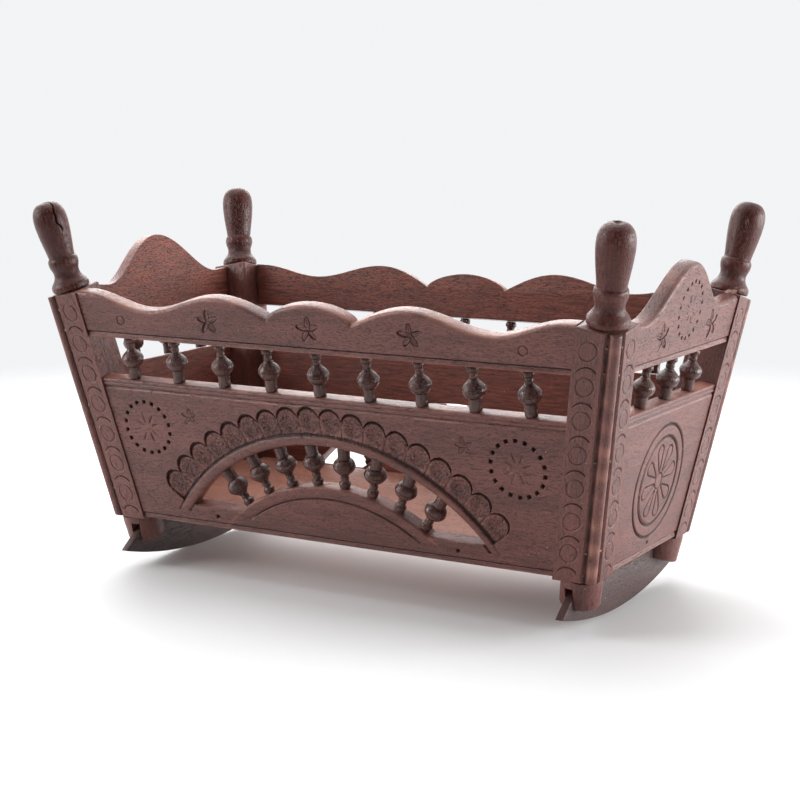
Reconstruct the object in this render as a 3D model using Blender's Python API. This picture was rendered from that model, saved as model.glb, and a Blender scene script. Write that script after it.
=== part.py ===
"""Doll-size rocking cradle in turned and carved wood, as separate pieces.

Four outward-leaning posts end in turned feet that straddle two rocker boards.
Rails and boards are tenoned into the posts, turned spindles are pinned into
drilled sockets, and a finial is plugged into the top of each post.

Units are metres.  The frame stands on the floor, z = 0, with +X along the
length of the cradle.  "Height" in the dimensions below is measured upwards
from the underside of the post blocks.
"""
import math

import bmesh
import bpy
from mathutils import Matrix, Vector

# ---------------------------------------------------------------- dimensions
GAP = 0.0003                 # clearance left between pieces that touch

BLOCK_Z = 0.032              # underside of the post blocks above the floor
POST_HEIGHT = 0.150          # block height at the edge where a rail meets it
BASE_LENGTH = 0.3472         # over the post blocks at their underside
BASE_WIDTH = 0.1494
END_LEAN = 0.176             # outward travel of the ends per unit of height
SIDE_LEAN = 0.203            # the same for the long sides

POST_WIDTH = 0.026
POST_CORNER = 0.0034         # radius of the bead on a post's outer corner
POST_CORNER_STEPS = 3
FOOT_LENGTH = 0.016
FOOT_RADIUS = 0.0122
FOOT_EMBED = 0.002           # how far it runs up inside the block
FOOT_SIDES = 20

FINIAL_HEIGHT = 0.0573       # along its axis, which continues the post's
FINIAL_INSET = 0.0128        # finial axis in from both outer faces
FINIAL_SIDES = 16
FINIAL_TENON_RADIUS = 0.004
FINIAL_TENON_LENGTH = 0.009
INNER_CORNER_RISE = 0.006    # a block's top is square to its axis

BOARD_INSET = 0.001          # board faces sit this far behind the post faces
BOARD_THICKNESS = 0.010
SIDE_BOARD_TOP = 0.0953
END_BOARD_TOP = 0.0965
BOARD_BOTTOM = 0.0016
RAIL_BOTTOM = 0.1226

TENON_THICKNESS = 0.005
TENON_LENGTH = 0.008
BOARD_TENON = (0.030, 0.080)     # lowest and highest height of the tenons
RAIL_TENON = (0.1265, 0.1385)

RAIL_END = 0.1510            # scalloped side rails: heights of the top edge
RAIL_LOW = {"front": 0.1415, "back": 0.1448}
RAIL_CREST = {"front": 0.1525, "back": 0.1545}
RAIL_CUSP = 0.1420
RAIL_CENTRE = 0.1518
CUSP_X = 0.030               # where they lie, from the middle of the rail
CREST_X = 0.067
LOW_X = 0.122
SHOULDER_X = 0.167
CENTRE_LOBE_POWER = 0.6      # fullness of the middle scallop
SCALLOP_STEPS = 5

HUMP_TOP = 0.1782            # bell-shaped end rails
HUMP_LOW = 0.1490
HUMP_MIDDLE = -0.0035        # seen from outside, the bell sits a little to the left
HUMP_REACH = {-1: 0.063, 1: 0.057}
HUMP_STEPS = 12

ARCH_DROP = 0.0689           # arch centre below the block undersides
ARCH_RADIUS = 0.135          # upper edge of the crescent opening
LUNETTE_RADIUS = 0.108       # its lower edge
SILL_HEIGHT = 0.0155         # flat ends of the crescent, up the slope
ARCH_STEPS = 20
LUNETTE_STEPS = 14

SIDE_SPINDLES = 9
SIDE_SPINDLE_PITCH = 0.0351
END_SPINDLES = 3
END_SPINDLE_PITCH = 0.0363
ARCH_SPINDLES = 8
ARCH_SPINDLE_STEP = math.radians(10.2)
SPINDLE_SIDES = 8
SPINDLE_SEAT = 0.0004        # end clearance of a spindle's shoulders
PIN_RADIUS = 0.0015
PIN_LENGTH = 0.003

FLOOR_TOP = 0.017
FLOOR_THICKNESS = 0.009

ROCKER_X = 0.157             # middle of a rocker board
ROCKER_THICKNESS = 0.005
ROCKER_RADIUS = 0.306
ROCKER_HALF_LENGTH = 0.085
ROCKER_STEPS = 15            # odd, so that the middle facet lies flat
ROCKER_END_Y = 0.0675        # upper corner of the slanted end
ROCKER_END_HEIGHT = -0.007
ROCKER_END_BEVEL = 0.003     # the corner eases up over this length
ROCKER_SLOT_HEIGHT = -0.0055     # top edge where it runs through the feet
ROCKER_SHOULDER_Y = 0.0480       # it steps up between the posts
SLOT_TOP = -0.0045

BOARD_MIDDLE = -(BOARD_INSET + BOARD_THICKNESS / 2)
SHARP_ANGLE = math.radians(35)   # turned pieces look round below this

# Turned outlines: share of the length, then radius.
SPINDLE_PROFILE = (
    (0.00, 0.00380), (0.28, 0.00380), (0.36, 0.00620), (0.47, 0.00695),
    (0.57, 0.00600), (0.67, 0.00340), (0.77, 0.00240), (0.91, 0.00350),
    (1.00, 0.00330),
)
FINIAL_PROFILE = (
    (0.00, 0.0120), (0.06, 0.0121), (0.13, 0.0093), (0.187, 0.0082),
    (0.25, 0.0088), (0.316, 0.0096), (0.38, 0.0084), (0.51, 0.0094),
    (0.64, 0.0103), (0.765, 0.0108), (0.87, 0.0104), (0.95, 0.0083),
    (1.00, 0.0040),
)

STAINED = (0.165, 0.062, 0.045)
DARK_STAINED = (0.085, 0.034, 0.028)
ORANGE_STAINED = (0.330, 0.120, 0.055)


# ------------------------------------------------------------------- helpers
def clear_scene():
    """Start from an empty scene."""
    for existing in list(bpy.data.objects):
        bpy.data.objects.remove(existing, do_unlink=True)


def wood(name, colour, roughness):
    """A plain stained-wood material."""
    material = bpy.data.materials.new(name)
    material.use_nodes = True
    shader = material.node_tree.nodes["Principled BSDF"]
    shader.inputs["Base Color"].default_value = (*colour, 1.0)
    shader.inputs["Roughness"].default_value = roughness
    shader.inputs["Metallic"].default_value = 0.0
    return material


def to_mesh(name, shape, smooth=False):
    """Turn a bmesh into a mesh whose faces point outwards."""
    bmesh.ops.recalc_face_normals(shape, faces=shape.faces[:])
    mesh = bpy.data.meshes.new(name)
    shape.to_mesh(mesh)
    shape.free()
    if smooth:
        mesh.shade_smooth()
        mesh.set_sharp_from_angle(angle=SHARP_ANGLE)
    return mesh


def place(name, mesh, matrix=None, material=None):
    """Put a mesh into the scene as one named piece."""
    piece = bpy.data.objects.new(name, mesh)
    bpy.context.scene.collection.objects.link(piece)
    if matrix is not None:
        piece.matrix_world = matrix
    if material is not None:
        piece.data.materials.clear()
        piece.data.materials.append(material)
    return piece


def combine(piece, tool, operation):
    """Cut a hidden tool out of a piece, or join it on."""
    tool.hide_render = True
    tool.display_type = "WIRE"
    step = piece.modifiers.new(operation.title(), "BOOLEAN")
    step.object = tool
    step.operation = operation
    step.solver = "EXACT"


def loft(shape, near, far):
    """Close the space between two outlines with the same number of points."""
    near_verts = [shape.verts.new(point) for point in near]
    far_verts = [shape.verts.new(point) for point in far]
    shape.faces.new(near_verts)
    shape.faces.new(list(reversed(far_verts)))
    count = len(near)
    for index in range(count):
        following = (index + 1) % count
        shape.faces.new((near_verts[index], near_verts[following],
                         far_verts[following], far_verts[index]))


def turned(shape, rings, sides, matrix=None):
    """Add a solid of revolution about Z from (height, radius) pairs."""
    loops = []
    for height, radius in rings:
        loop = []
        for side in range(sides):
            angle = 2 * math.pi * side / sides
            point = Vector((radius * math.cos(angle), radius * math.sin(angle), height))
            loop.append(shape.verts.new(matrix @ point if matrix else point))
        loops.append(loop)
    shape.faces.new(loops[0])
    shape.faces.new(list(reversed(loops[-1])))
    for lower, upper in zip(loops, loops[1:]):
        for side in range(sides):
            following = (side + 1) % sides
            shape.faces.new((lower[side], lower[following], upper[following], upper[side]))


def ease(share):
    """Go smoothly from 0 to 1."""
    return 0.5 - 0.5 * math.cos(math.pi * share)


# --------------------------------------------------------------------- walls
class Wall:
    """One leaning side, with its own axes: along, up the slope and outwards."""

    def __init__(self, name, turn, reach, lean, half_base, end_lean):
        self.name = name
        self.half_base = half_base
        self.end_lean = end_lean
        self.tilt = math.atan(lean)
        up = Vector((0, -math.sin(self.tilt), math.cos(self.tilt)))
        outward = Vector((0, -math.cos(self.tilt), -math.sin(self.tilt)))
        axes = Matrix((Vector((1, 0, 0)), up, outward)).transposed().to_4x4()
        axes.translation = Vector((0, -reach, BLOCK_Z))
        self.matrix = Matrix.Rotation(math.radians(turn), 4, "Z") @ axes

    def rise(self, height):
        """Distance up the slope, on the outer face, for a height."""
        return height / math.cos(self.tilt)

    def half_span(self, rise, depth, extra=-GAP):
        """Half the distance between the posts at a place in the wall."""
        height = rise * math.cos(self.tilt) - depth * math.sin(self.tilt)
        return self.half_base + self.end_lean * height + extra


def make_walls():
    """The four sides; each turns the front one about Z."""
    half_long = BASE_LENGTH / 2 - POST_WIDTH
    half_short = BASE_WIDTH / 2 - POST_WIDTH
    side = (BASE_WIDTH / 2, SIDE_LEAN, half_long, END_LEAN)
    end = (BASE_LENGTH / 2, END_LEAN, half_short, SIDE_LEAN)
    return {
        "front": Wall("front", 0, *side),
        "right": Wall("right", 90, *end),
        "back": Wall("back", 180, *side),
        "left": Wall("left", 270, *end),
    }


def plank(wall, outline, outer, inner):
    """Extrude an outline through a wall; the outline depends on the depth."""
    shape = bmesh.new()
    near = [wall.matrix @ Vector((along, rise, outer)) for along, rise in outline(outer)]
    far = [wall.matrix @ Vector((along, rise, inner)) for along, rise in outline(inner)]
    loft(shape, near, far)
    return shape


def board_depths():
    """Outer and inner face of a board."""
    return -BOARD_INSET, -(BOARD_INSET + BOARD_THICKNESS)


def straight_outline(wall, bottom, top):
    """A board with straight edges, cut to the leaning posts at its ends."""
    def outline(depth):
        low = wall.rise(bottom)
        high = wall.rise(top)
        low_half = wall.half_span(low, depth)
        high_half = wall.half_span(high, depth)
        return [(-low_half, low), (low_half, low), (high_half, high), (-high_half, high)]
    return outline


def topped_outline(wall, bottom, stations, top_at):
    """A rail with a shaped top; stations are shares of the half length."""
    def outline(depth):
        low = wall.rise(bottom)
        low_half = wall.half_span(low, depth)
        points = [(-low_half, low), (low_half, low)]
        for share in stations:
            rise = wall.rise(top_at(share))
            along = share * wall.half_span(wall.rise(RAIL_END), depth)
            points.append((along, rise))
        return points
    return outline


def mirrored_stations(stations):
    """Stations from the right-hand end to the left-hand end."""
    right = sorted(stations, reverse=True)
    left = [-share for share in sorted(stations) if share > 0]
    return right + left


def scallop_height(distance, low, crest):
    """Top of a side rail at a distance from its middle."""
    if distance <= CUSP_X:
        lobe = math.cos(math.pi / 2 * distance / CUSP_X)
        return RAIL_CUSP + (RAIL_CENTRE - RAIL_CUSP) * max(lobe, 0.0) ** CENTRE_LOBE_POWER
    if distance <= CREST_X:
        share = (CREST_X - distance) / (CREST_X - CUSP_X)
        return RAIL_CUSP + (crest - RAIL_CUSP) * math.cos(math.pi / 2 * share)
    if distance <= LOW_X:
        share = (LOW_X - distance) / (LOW_X - CREST_X)
        return low + (crest - low) * ease(share)
    share = min((distance - LOW_X) / (SHOULDER_X - LOW_X), 1.0)
    return low + (RAIL_END - low) * ease(share)


def hump_height(along):
    """Top of an end rail at a place along it."""
    reach = HUMP_REACH[-1 if along < HUMP_MIDDLE else 1]
    distance = abs(along - HUMP_MIDDLE)
    if distance <= reach:
        return HUMP_LOW + (HUMP_TOP - HUMP_LOW) * ease(1 - distance / reach)
    return HUMP_LOW + (RAIL_END - HUMP_LOW) * min((distance - reach) / POST_WIDTH, 1.0)


def hump_stations(half):
    """Shares of the half length at which an end rail's bell is drawn, from right to left."""
    stations = {1.0, -1.0, HUMP_MIDDLE / half}
    for side, reach in HUMP_REACH.items():
        for step in range(1, HUMP_STEPS + 1):
            stations.add((HUMP_MIDDLE + side * reach * step / HUMP_STEPS) / half)
    return sorted(stations, reverse=True)


# -------------------------------------------------------------------- joints
def tenon_bar(wall, heights, clearance):
    """A bar through a board that ends as a tenon in both posts."""
    reach = TENON_LENGTH + clearance
    low = wall.rise(heights[0]) - clearance
    high = wall.rise(heights[1]) + clearance

    def outline(depth):
        low_half = wall.half_span(low, depth, reach)
        high_half = wall.half_span(high, depth, reach)
        return [(-low_half, low), (low_half, low), (high_half, high), (-high_half, high)]

    half = TENON_THICKNESS / 2 + clearance
    shape = plank(wall, outline, BOARD_MIDDLE + half, BOARD_MIDDLE - half)
    return to_mesh("tenon", shape)


def socket_matrix(wall, along, rise):
    """Where a pin enters a board edge that faces up the slope."""
    spot = Matrix.Translation((along, rise, BOARD_MIDDLE))
    return wall.matrix @ spot @ Matrix.Rotation(-math.pi / 2, 4, "X")


def arch_matrix(wall, angle, radius):
    """A frame on the arch that points towards its centre."""
    centre = Matrix.Translation((0, -ARCH_DROP, BOARD_MIDDLE))
    turn = Matrix.Rotation(angle, 4, "Z")
    out = Matrix.Translation((radius, 0, 0))
    return wall.matrix @ centre @ turn @ out @ Matrix.Rotation(-math.pi / 2, 4, "Y")


def drill(piece, matrices):
    """Drill a pin socket on both sides of each given spot's surface."""
    shape = bmesh.new()
    reach = PIN_LENGTH + GAP
    radius = PIN_RADIUS + GAP
    for matrix in matrices:
        turned(shape, ((-reach, radius), (reach, radius)), SPINDLE_SIDES, matrix)
    combine(piece, place(piece.name + "_sockets", to_mesh("sockets", shape)), "DIFFERENCE")


def spaced(count, pitch):
    """Positions of evenly spaced pieces about the middle."""
    return [pitch * (index - (count - 1) / 2) for index in range(count)]


# -------------------------------------------------------------------- pieces
def block_top(from_end, from_side):
    """Height of a block's top at a place given by its distances in from both faces."""
    fall = END_LEAN * (POST_WIDTH - from_end) + SIDE_LEAN * (POST_WIDTH - from_side)
    return POST_HEIGHT + INNER_CORNER_RISE - fall


def post_lean(x_sign, y_sign):
    """Turn Z into the direction of a post and its finial."""
    lean = Vector((x_sign * END_LEAN, y_sign * SIDE_LEAN, 1.0))
    return lean.to_track_quat("Z", "Y").to_matrix().to_4x4()


def make_post(name, x_sign, y_sign, walls, material):
    """A leaning block with a turned foot, mortised for its rails and boards."""
    def corner_offsets():
        """Outline of the block, as distances in from its two outer faces."""
        offsets = [(POST_WIDTH, 0.0), (POST_WIDTH, POST_WIDTH), (0.0, POST_WIDTH)]
        for step in range(POST_CORNER_STEPS + 1):
            angle = math.pi / 2 * step / POST_CORNER_STEPS
            offsets.append((POST_CORNER * (1 - math.cos(angle)),
                            POST_CORNER * (1 - math.sin(angle))))
        return offsets

    def point(from_end, from_side, height):
        x = BASE_LENGTH / 2 + END_LEAN * height - from_end
        y = BASE_WIDTH / 2 + SIDE_LEAN * height - from_side
        return Vector((x_sign * x, y_sign * y, BLOCK_Z + height))

    shape = bmesh.new()
    lower = [point(*offset, 0.0) for offset in corner_offsets()]
    upper = [point(*offset, block_top(*offset)) for offset in corner_offsets()]
    loft(shape, lower, upper)
    post = place(name, to_mesh(name, shape), None, material)

    base = point(POST_WIDTH / 2, POST_WIDTH / 2, 0.0)
    axis = Matrix.Translation(base) @ post_lean(x_sign, y_sign)
    foot = bmesh.new()
    turned(foot, ((-FOOT_LENGTH, FOOT_RADIUS), (FOOT_EMBED, FOOT_RADIUS)), FOOT_SIDES, axis)
    combine(post, place(name + "_foot", to_mesh("foot", foot)), "UNION")

    for wall in walls.values():
        for heights in (BOARD_TENON, RAIL_TENON):
            bar = place(f"{name}_{wall.name}_mortise", tenon_bar(wall, heights, GAP))
            combine(post, bar, "DIFFERENCE")

    hole = bmesh.new()
    turned(hole, ((-FINIAL_TENON_LENGTH - GAP, FINIAL_TENON_RADIUS + GAP),
                  (FINIAL_TENON_LENGTH, FINIAL_TENON_RADIUS + GAP)),
           FINIAL_SIDES, finial_matrix(x_sign, y_sign))
    combine(post, place(name + "_hole", to_mesh("hole", hole)), "DIFFERENCE")

    slot = bmesh.new()
    bmesh.ops.create_cube(slot, size=1.0)
    half = ROCKER_THICKNESS / 2 + GAP
    slot_depth = 2 * FOOT_LENGTH
    bmesh.ops.scale(slot, verts=slot.verts, vec=(2 * half, BASE_WIDTH, slot_depth))
    centre = (x_sign * ROCKER_X, 0, BLOCK_Z + SLOT_TOP - slot_depth / 2)
    bmesh.ops.translate(slot, verts=slot.verts, vec=centre)
    combine(post, place(name + "_slot", to_mesh("slot", slot)), "DIFFERENCE")


def finial_matrix(x_sign, y_sign):
    """The seat of a finial: on top of its post, with the same lean."""
    height = block_top(FINIAL_INSET, FINIAL_INSET)
    x = x_sign * (BASE_LENGTH / 2 + END_LEAN * height - FINIAL_INSET)
    y = y_sign * (BASE_WIDTH / 2 + SIDE_LEAN * height - FINIAL_INSET)
    return Matrix.Translation((x, y, BLOCK_Z + height)) @ post_lean(x_sign, y_sign)


def finial_rings():
    """A round tenon and the turned knob above it."""
    seat = 2 * GAP
    rings = [(-FINIAL_TENON_LENGTH + GAP, FINIAL_TENON_RADIUS), (seat, FINIAL_TENON_RADIUS)]
    for share, radius in FINIAL_PROFILE:
        rings.append((seat + share * FINIAL_HEIGHT, radius))
    return rings


def spindle_rings(length):
    """A baluster: straight foot, bulb, neck and collar, with a pin at each end."""
    low = SPINDLE_SEAT
    high = length - SPINDLE_SEAT
    rings = [(low - PIN_LENGTH, PIN_RADIUS), (low, PIN_RADIUS)]
    for share, radius in SPINDLE_PROFILE:
        rings.append((low + share * (high - low), radius))
    rings.append((high, PIN_RADIUS))
    rings.append((high + PIN_LENGTH, PIN_RADIUS))
    return rings


def spindle_mesh(name, length, material):
    """The mesh that the spindles of one row share."""
    shape = bmesh.new()
    turned(shape, spindle_rings(length), SPINDLE_SIDES)
    mesh = to_mesh(name, shape, smooth=True)
    mesh.materials.append(material)
    return mesh


def crescent(wall):
    """The cutter for the arched opening: two arcs and two level sills."""
    level = SILL_HEIGHT + ARCH_DROP
    wide = math.asin(level / ARCH_RADIUS)
    narrow = math.asin(level / LUNETTE_RADIUS)

    def outline(_depth):
        points = []
        for step in range(ARCH_STEPS + 1):
            angle = wide + (math.pi - 2 * wide) * step / ARCH_STEPS
            points.append((ARCH_RADIUS * math.cos(angle),
                           ARCH_RADIUS * math.sin(angle) - ARCH_DROP))
        for step in range(LUNETTE_STEPS + 1):
            angle = math.pi - narrow - (math.pi - 2 * narrow) * step / LUNETTE_STEPS
            points.append((LUNETTE_RADIUS * math.cos(angle),
                           LUNETTE_RADIUS * math.sin(angle) - ARCH_DROP))
        return points

    shape = plank(wall, outline, BOARD_THICKNESS, -2 * BOARD_THICKNESS)
    return place(wall.name + "_crescent", to_mesh("crescent", shape))


def arch_angles():
    """Directions of the arch spindles from the arch centre."""
    return [math.pi / 2 + angle for angle in spaced(ARCH_SPINDLES, ARCH_SPINDLE_STEP)]


def make_board(wall, name, top, spots, material):
    """A lower board: tenons at both ends and sockets along its top edge."""
    outer, inner = board_depths()
    shape = plank(wall, straight_outline(wall, BOARD_BOTTOM, top), outer, inner)
    board = place(name, to_mesh(name, shape), None, material)
    combine(board, place(name + "_tenons", tenon_bar(wall, BOARD_TENON, 0.0)), "UNION")
    drill(board, [socket_matrix(wall, along, wall.rise(top)) for along in spots])
    return board


def make_rail(wall, name, stations, top_at, spots, material):
    """A top rail with a shaped upper edge and sockets along its underside."""
    outer, inner = board_depths()
    outline = topped_outline(wall, RAIL_BOTTOM, stations, top_at)
    rail = place(name, to_mesh(name, plank(wall, outline, outer, inner)), None, material)
    combine(rail, place(name + "_tenons", tenon_bar(wall, RAIL_TENON, 0.0)), "UNION")
    drill(rail, [socket_matrix(wall, along, wall.rise(RAIL_BOTTOM)) for along in spots])


def make_spindle_row(wall, prefix, spots, board_top, material):
    """A row of balusters between a lower board and its top rail."""
    low = wall.rise(board_top)
    mesh = spindle_mesh(prefix, wall.rise(RAIL_BOTTOM) - low, material)
    for number, along in enumerate(spots, start=1):
        place(f"{prefix}_{number}", mesh, socket_matrix(wall, along, low))


def make_side(wall, material, dark):
    """A long side: carved board with its crescent, scalloped rail and spindles."""
    spots = spaced(SIDE_SPINDLES, SIDE_SPINDLE_PITCH)
    board = make_board(wall, f"side_board_{wall.name}", SIDE_BOARD_TOP, spots, material)
    combine(board, crescent(wall), "DIFFERENCE")
    sockets = [arch_matrix(wall, angle, radius)
               for angle in arch_angles() for radius in (ARCH_RADIUS, LUNETTE_RADIUS)]
    drill(board, sockets)

    half = wall.half_span(wall.rise(RAIL_END), -BOARD_INSET)
    marks = (0.0, CUSP_X, CREST_X, LOW_X, SHOULDER_X)
    stations = [1.0]
    for start, stop in zip(marks, marks[1:]):
        for step in range(SCALLOP_STEPS):
            stations.append((start + (stop - start) * step / SCALLOP_STEPS) / half)
    low, crest = RAIL_LOW[wall.name], RAIL_CREST[wall.name]
    make_rail(wall, f"top_rail_{wall.name}", mirrored_stations(stations),
              lambda share: scallop_height(abs(share) * half, low, crest), spots, material)

    make_spindle_row(wall, f"rail_spindle_{wall.name}", spots, SIDE_BOARD_TOP, dark)
    mesh = spindle_mesh("arch_spindle", ARCH_RADIUS - LUNETTE_RADIUS, dark)
    for number, angle in enumerate(arch_angles(), start=1):
        name = f"arch_spindle_{wall.name}_{number}"
        place(name, mesh, arch_matrix(wall, angle, ARCH_RADIUS))


def make_end(wall, material, dark):
    """A short end: lower board, bell-shaped rail and spindles."""
    spots = [HUMP_MIDDLE + along for along in spaced(END_SPINDLES, END_SPINDLE_PITCH)]
    make_board(wall, f"end_board_{wall.name}", END_BOARD_TOP, spots, material)
    half = wall.half_span(wall.rise(RAIL_END), -BOARD_INSET)
    make_rail(wall, f"end_rail_{wall.name}", hump_stations(half),
              lambda share: hump_height(share * half), spots, material)
    make_spindle_row(wall, f"end_spindle_{wall.name}", spots, END_BOARD_TOP, dark)


def make_floor(walls, material):
    """The bottom board: edges bevelled to the walls, corners notched for posts."""
    def outline(height):
        side, end = walls["front"], walls["right"]
        thickness = BOARD_INSET + BOARD_THICKNESS + GAP
        half_x = BASE_LENGTH / 2 + END_LEAN * height - thickness / math.cos(end.tilt)
        half_y = BASE_WIDTH / 2 + SIDE_LEAN * height - thickness / math.cos(side.tilt)
        notch_x = BASE_LENGTH / 2 + END_LEAN * height - POST_WIDTH - GAP
        notch_y = BASE_WIDTH / 2 + SIDE_LEAN * height - POST_WIDTH - GAP
        quarter = [(half_x, notch_y), (notch_x, notch_y), (notch_x, half_y)]
        points = list(quarter)
        points += [(-x, y) for x, y in reversed(quarter)]
        points += [(-x, -y) for x, y in quarter]
        points += [(x, -y) for x, y in reversed(quarter)]
        return [Vector((x, y, BLOCK_Z + height)) for x, y in points]

    shape = bmesh.new()
    loft(shape, outline(FLOOR_TOP - FLOOR_THICKNESS), outline(FLOOR_TOP))
    place("floor_board", to_mesh("floor_board", shape), None, material)


def make_rocker(name, x_sign, material):
    """A board with an arc below, slanted ends and a raised middle."""
    span = math.asin(ROCKER_HALF_LENGTH / ROCKER_RADIUS)
    step_angle = 2 * span / ROCKER_STEPS
    corner_radius = ROCKER_RADIUS / math.cos(step_angle / 2)
    points = []
    for step in range(ROCKER_STEPS + 1):
        angle = -span + step_angle * step
        points.append((corner_radius * math.sin(angle),
                       ROCKER_RADIUS - corner_radius * math.cos(angle)))
    middle_top = FLOOR_TOP - FLOOR_THICKNESS - GAP
    upper = [(ROCKER_END_Y, ROCKER_END_HEIGHT),
             (ROCKER_END_Y - ROCKER_END_BEVEL, ROCKER_SLOT_HEIGHT),
             (ROCKER_SHOULDER_Y, ROCKER_SLOT_HEIGHT),
             (ROCKER_SHOULDER_Y, middle_top)]
    points += [(y, BLOCK_Z + height) for y, height in upper]
    points += [(-y, BLOCK_Z + height) for y, height in reversed(upper)]
    shape = bmesh.new()
    faces = []
    for side in (-1, 1):
        x = x_sign * ROCKER_X + side * ROCKER_THICKNESS / 2
        faces.append([Vector((x, y, z)) for y, z in points])
    loft(shape, *faces)
    place(name, to_mesh(name, shape), None, material)


def build():
    """Make every piece of the cradle."""
    clear_scene()
    walls = make_walls()
    stained = wood("stained_wood", STAINED, 0.45)
    dark = wood("dark_turned_wood", DARK_STAINED, 0.40)
    orange = wood("floor_wood", ORANGE_STAINED, 0.50)

    finial = bmesh.new()
    turned(finial, finial_rings(), FINIAL_SIDES)
    finial_mesh = to_mesh("finial", finial, smooth=True)
    finial_mesh.materials.append(stained)
    corners = (("front", "left", -1, -1), ("front", "right", 1, -1),
               ("back", "left", -1, 1), ("back", "right", 1, 1))
    for side, end, x_sign, y_sign in corners:
        near = {key: walls[key] for key in (side, end)}
        make_post(f"post_{side}_{end}", x_sign, y_sign, near, stained)
        place(f"finial_{side}_{end}", finial_mesh, finial_matrix(x_sign, y_sign))

    for side in ("front", "back"):
        make_side(walls[side], stained, dark)
    for end in ("left", "right"):
        make_end(walls[end], stained, dark)
    make_floor(walls, orange)
    make_rocker("rocker_left", -1, stained)
    make_rocker("rocker_right", 1, stained)


build()
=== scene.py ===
"""Looks of the rocking cradle: carved boards, turned pieces, stained wood and a plain studio.

Every wall has its own axes: X along it, Y up its slope and Z outwards, with the origin on
the outer plane of its posts, level with the underside of the post blocks.  Heights are
measured upwards from there too.  Units are metres.
"""
import math
from itertools import product

import bmesh
import bpy
import numpy as np
from mathutils import Matrix, Vector
from mathutils.geometry import tessellate_polygon


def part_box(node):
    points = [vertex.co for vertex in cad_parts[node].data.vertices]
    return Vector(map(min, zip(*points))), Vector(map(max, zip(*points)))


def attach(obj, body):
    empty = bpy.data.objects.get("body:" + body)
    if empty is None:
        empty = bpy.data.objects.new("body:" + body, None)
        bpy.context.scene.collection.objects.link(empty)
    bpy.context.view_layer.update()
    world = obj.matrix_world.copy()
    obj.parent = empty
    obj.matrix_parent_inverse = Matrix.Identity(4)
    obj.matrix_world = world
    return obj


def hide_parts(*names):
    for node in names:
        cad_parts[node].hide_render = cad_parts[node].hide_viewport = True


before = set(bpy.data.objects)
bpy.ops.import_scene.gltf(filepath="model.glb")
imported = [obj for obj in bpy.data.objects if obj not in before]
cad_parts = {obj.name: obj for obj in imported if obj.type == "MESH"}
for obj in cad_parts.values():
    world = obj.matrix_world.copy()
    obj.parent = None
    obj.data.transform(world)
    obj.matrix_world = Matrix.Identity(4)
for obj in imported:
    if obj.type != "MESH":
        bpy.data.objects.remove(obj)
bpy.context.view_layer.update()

# ------------------------------------------------------- sizes that the frame was built to
GAP = 0.0003
FLOOR_TOP = 0.017
BLOCK_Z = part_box("floor_board")[1].z - FLOOR_TOP     # underside of the post blocks
POST_HEIGHT = 0.150
INNER_CORNER_RISE = 0.006
BASE_LENGTH = 0.3472
BASE_WIDTH = 0.1494
END_LEAN = 0.176
SIDE_LEAN = 0.203
POST_WIDTH = 0.026
FOOT_LENGTH = 0.016
FOOT_RADIUS = 0.0122
FOOT_EMBED = 0.002
FINIAL_HEIGHT = 0.0573
FINIAL_INSET = 0.0128
BOARD_INSET = 0.001
BOARD_THICKNESS = 0.010
BOARD_MIDDLE = -(BOARD_INSET + BOARD_THICKNESS / 2)
BOARD_BOTTOM = 0.0016
SIDE_BOARD_TOP = 0.0953
END_BOARD_TOP = 0.0965
RAIL_BOTTOM = 0.1226
RAIL_END = 0.1510
RAIL_LOW = {"front": 0.1415, "back": 0.1448}
RAIL_CREST = {"front": 0.1525, "back": 0.1545}
RAIL_CUSP = 0.1420
RAIL_CENTRE = 0.1518
CUSP_X = 0.030
CREST_X = 0.067
LOW_X = 0.122
SHOULDER_X = 0.167
CENTRE_LOBE_POWER = 0.6
HUMP_TOP = 0.1782
HUMP_LOW = 0.1490
HUMP_MIDDLE = -0.0035
HUMP_REACH_LEFT = 0.063
HUMP_REACH_RIGHT = 0.057
ARCH_DROP = 0.0689
ARCH_RADIUS = 0.135
LUNETTE_RADIUS = 0.108
SILL_HEIGHT = 0.0155
SIDE_SPINDLES = 9
SIDE_SPINDLE_PITCH = 0.0351
END_SPINDLES = 3
END_SPINDLE_PITCH = 0.0363
ARCH_SPINDLES = 8
ARCH_SPINDLE_STEP = math.radians(10.2)
SEAT = 0.0004
FLOOR_THICKNESS = 0.009
ROCKER_X = 0.157
ROCKER_THICKNESS = 0.005
ROCKER_RADIUS = 0.306
ROCKER_HALF_LENGTH = 0.085
ROCKER_END_Y = 0.0675
ROCKER_END_HEIGHT = -0.007
ROCKER_END_BEVEL = 0.003
ROCKER_SLOT_HEIGHT = -0.0055
ROCKER_SHOULDER_Y = 0.0480
SLOT_TOP = -0.0045

# ---------------------------------------------------------------- sizes of the carved work
CARVING_STEP = 0.00042       # spacing of the points that carry the carving
RAIL_STEP = 0.00044
FINE_STEP = 0.00034          # the same along the edges of a board and over a post
NOSE_ZONE = 0.009            # how far in from a board's top edge, and from its bottom edge,
FOOT_ZONE = 0.005            # the points stay that close
EDGE_RADIUS = 0.0007         # rounding of all the other edges of a board

NOSE_RADIUS = {"side": 0.0022, "end": 0.0010}
HOLLOW = 0.0028              # below a board's top edge: a hollow, then the quirk
QUIRK = 0.0054
QUIRK_WIDTH = 0.0013
QUIRK_DEPTH = 0.0010
QUIRK_SLOPE = 0.0016         # the face rises this far below the quirk
FOOT_BEAD = 0.0033           # hollow moulding along the bottom of a board or rail
FOOT_BEAD_DEPTH = 0.0009
FOOT_STEP_DEPTH = 0.0013

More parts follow.
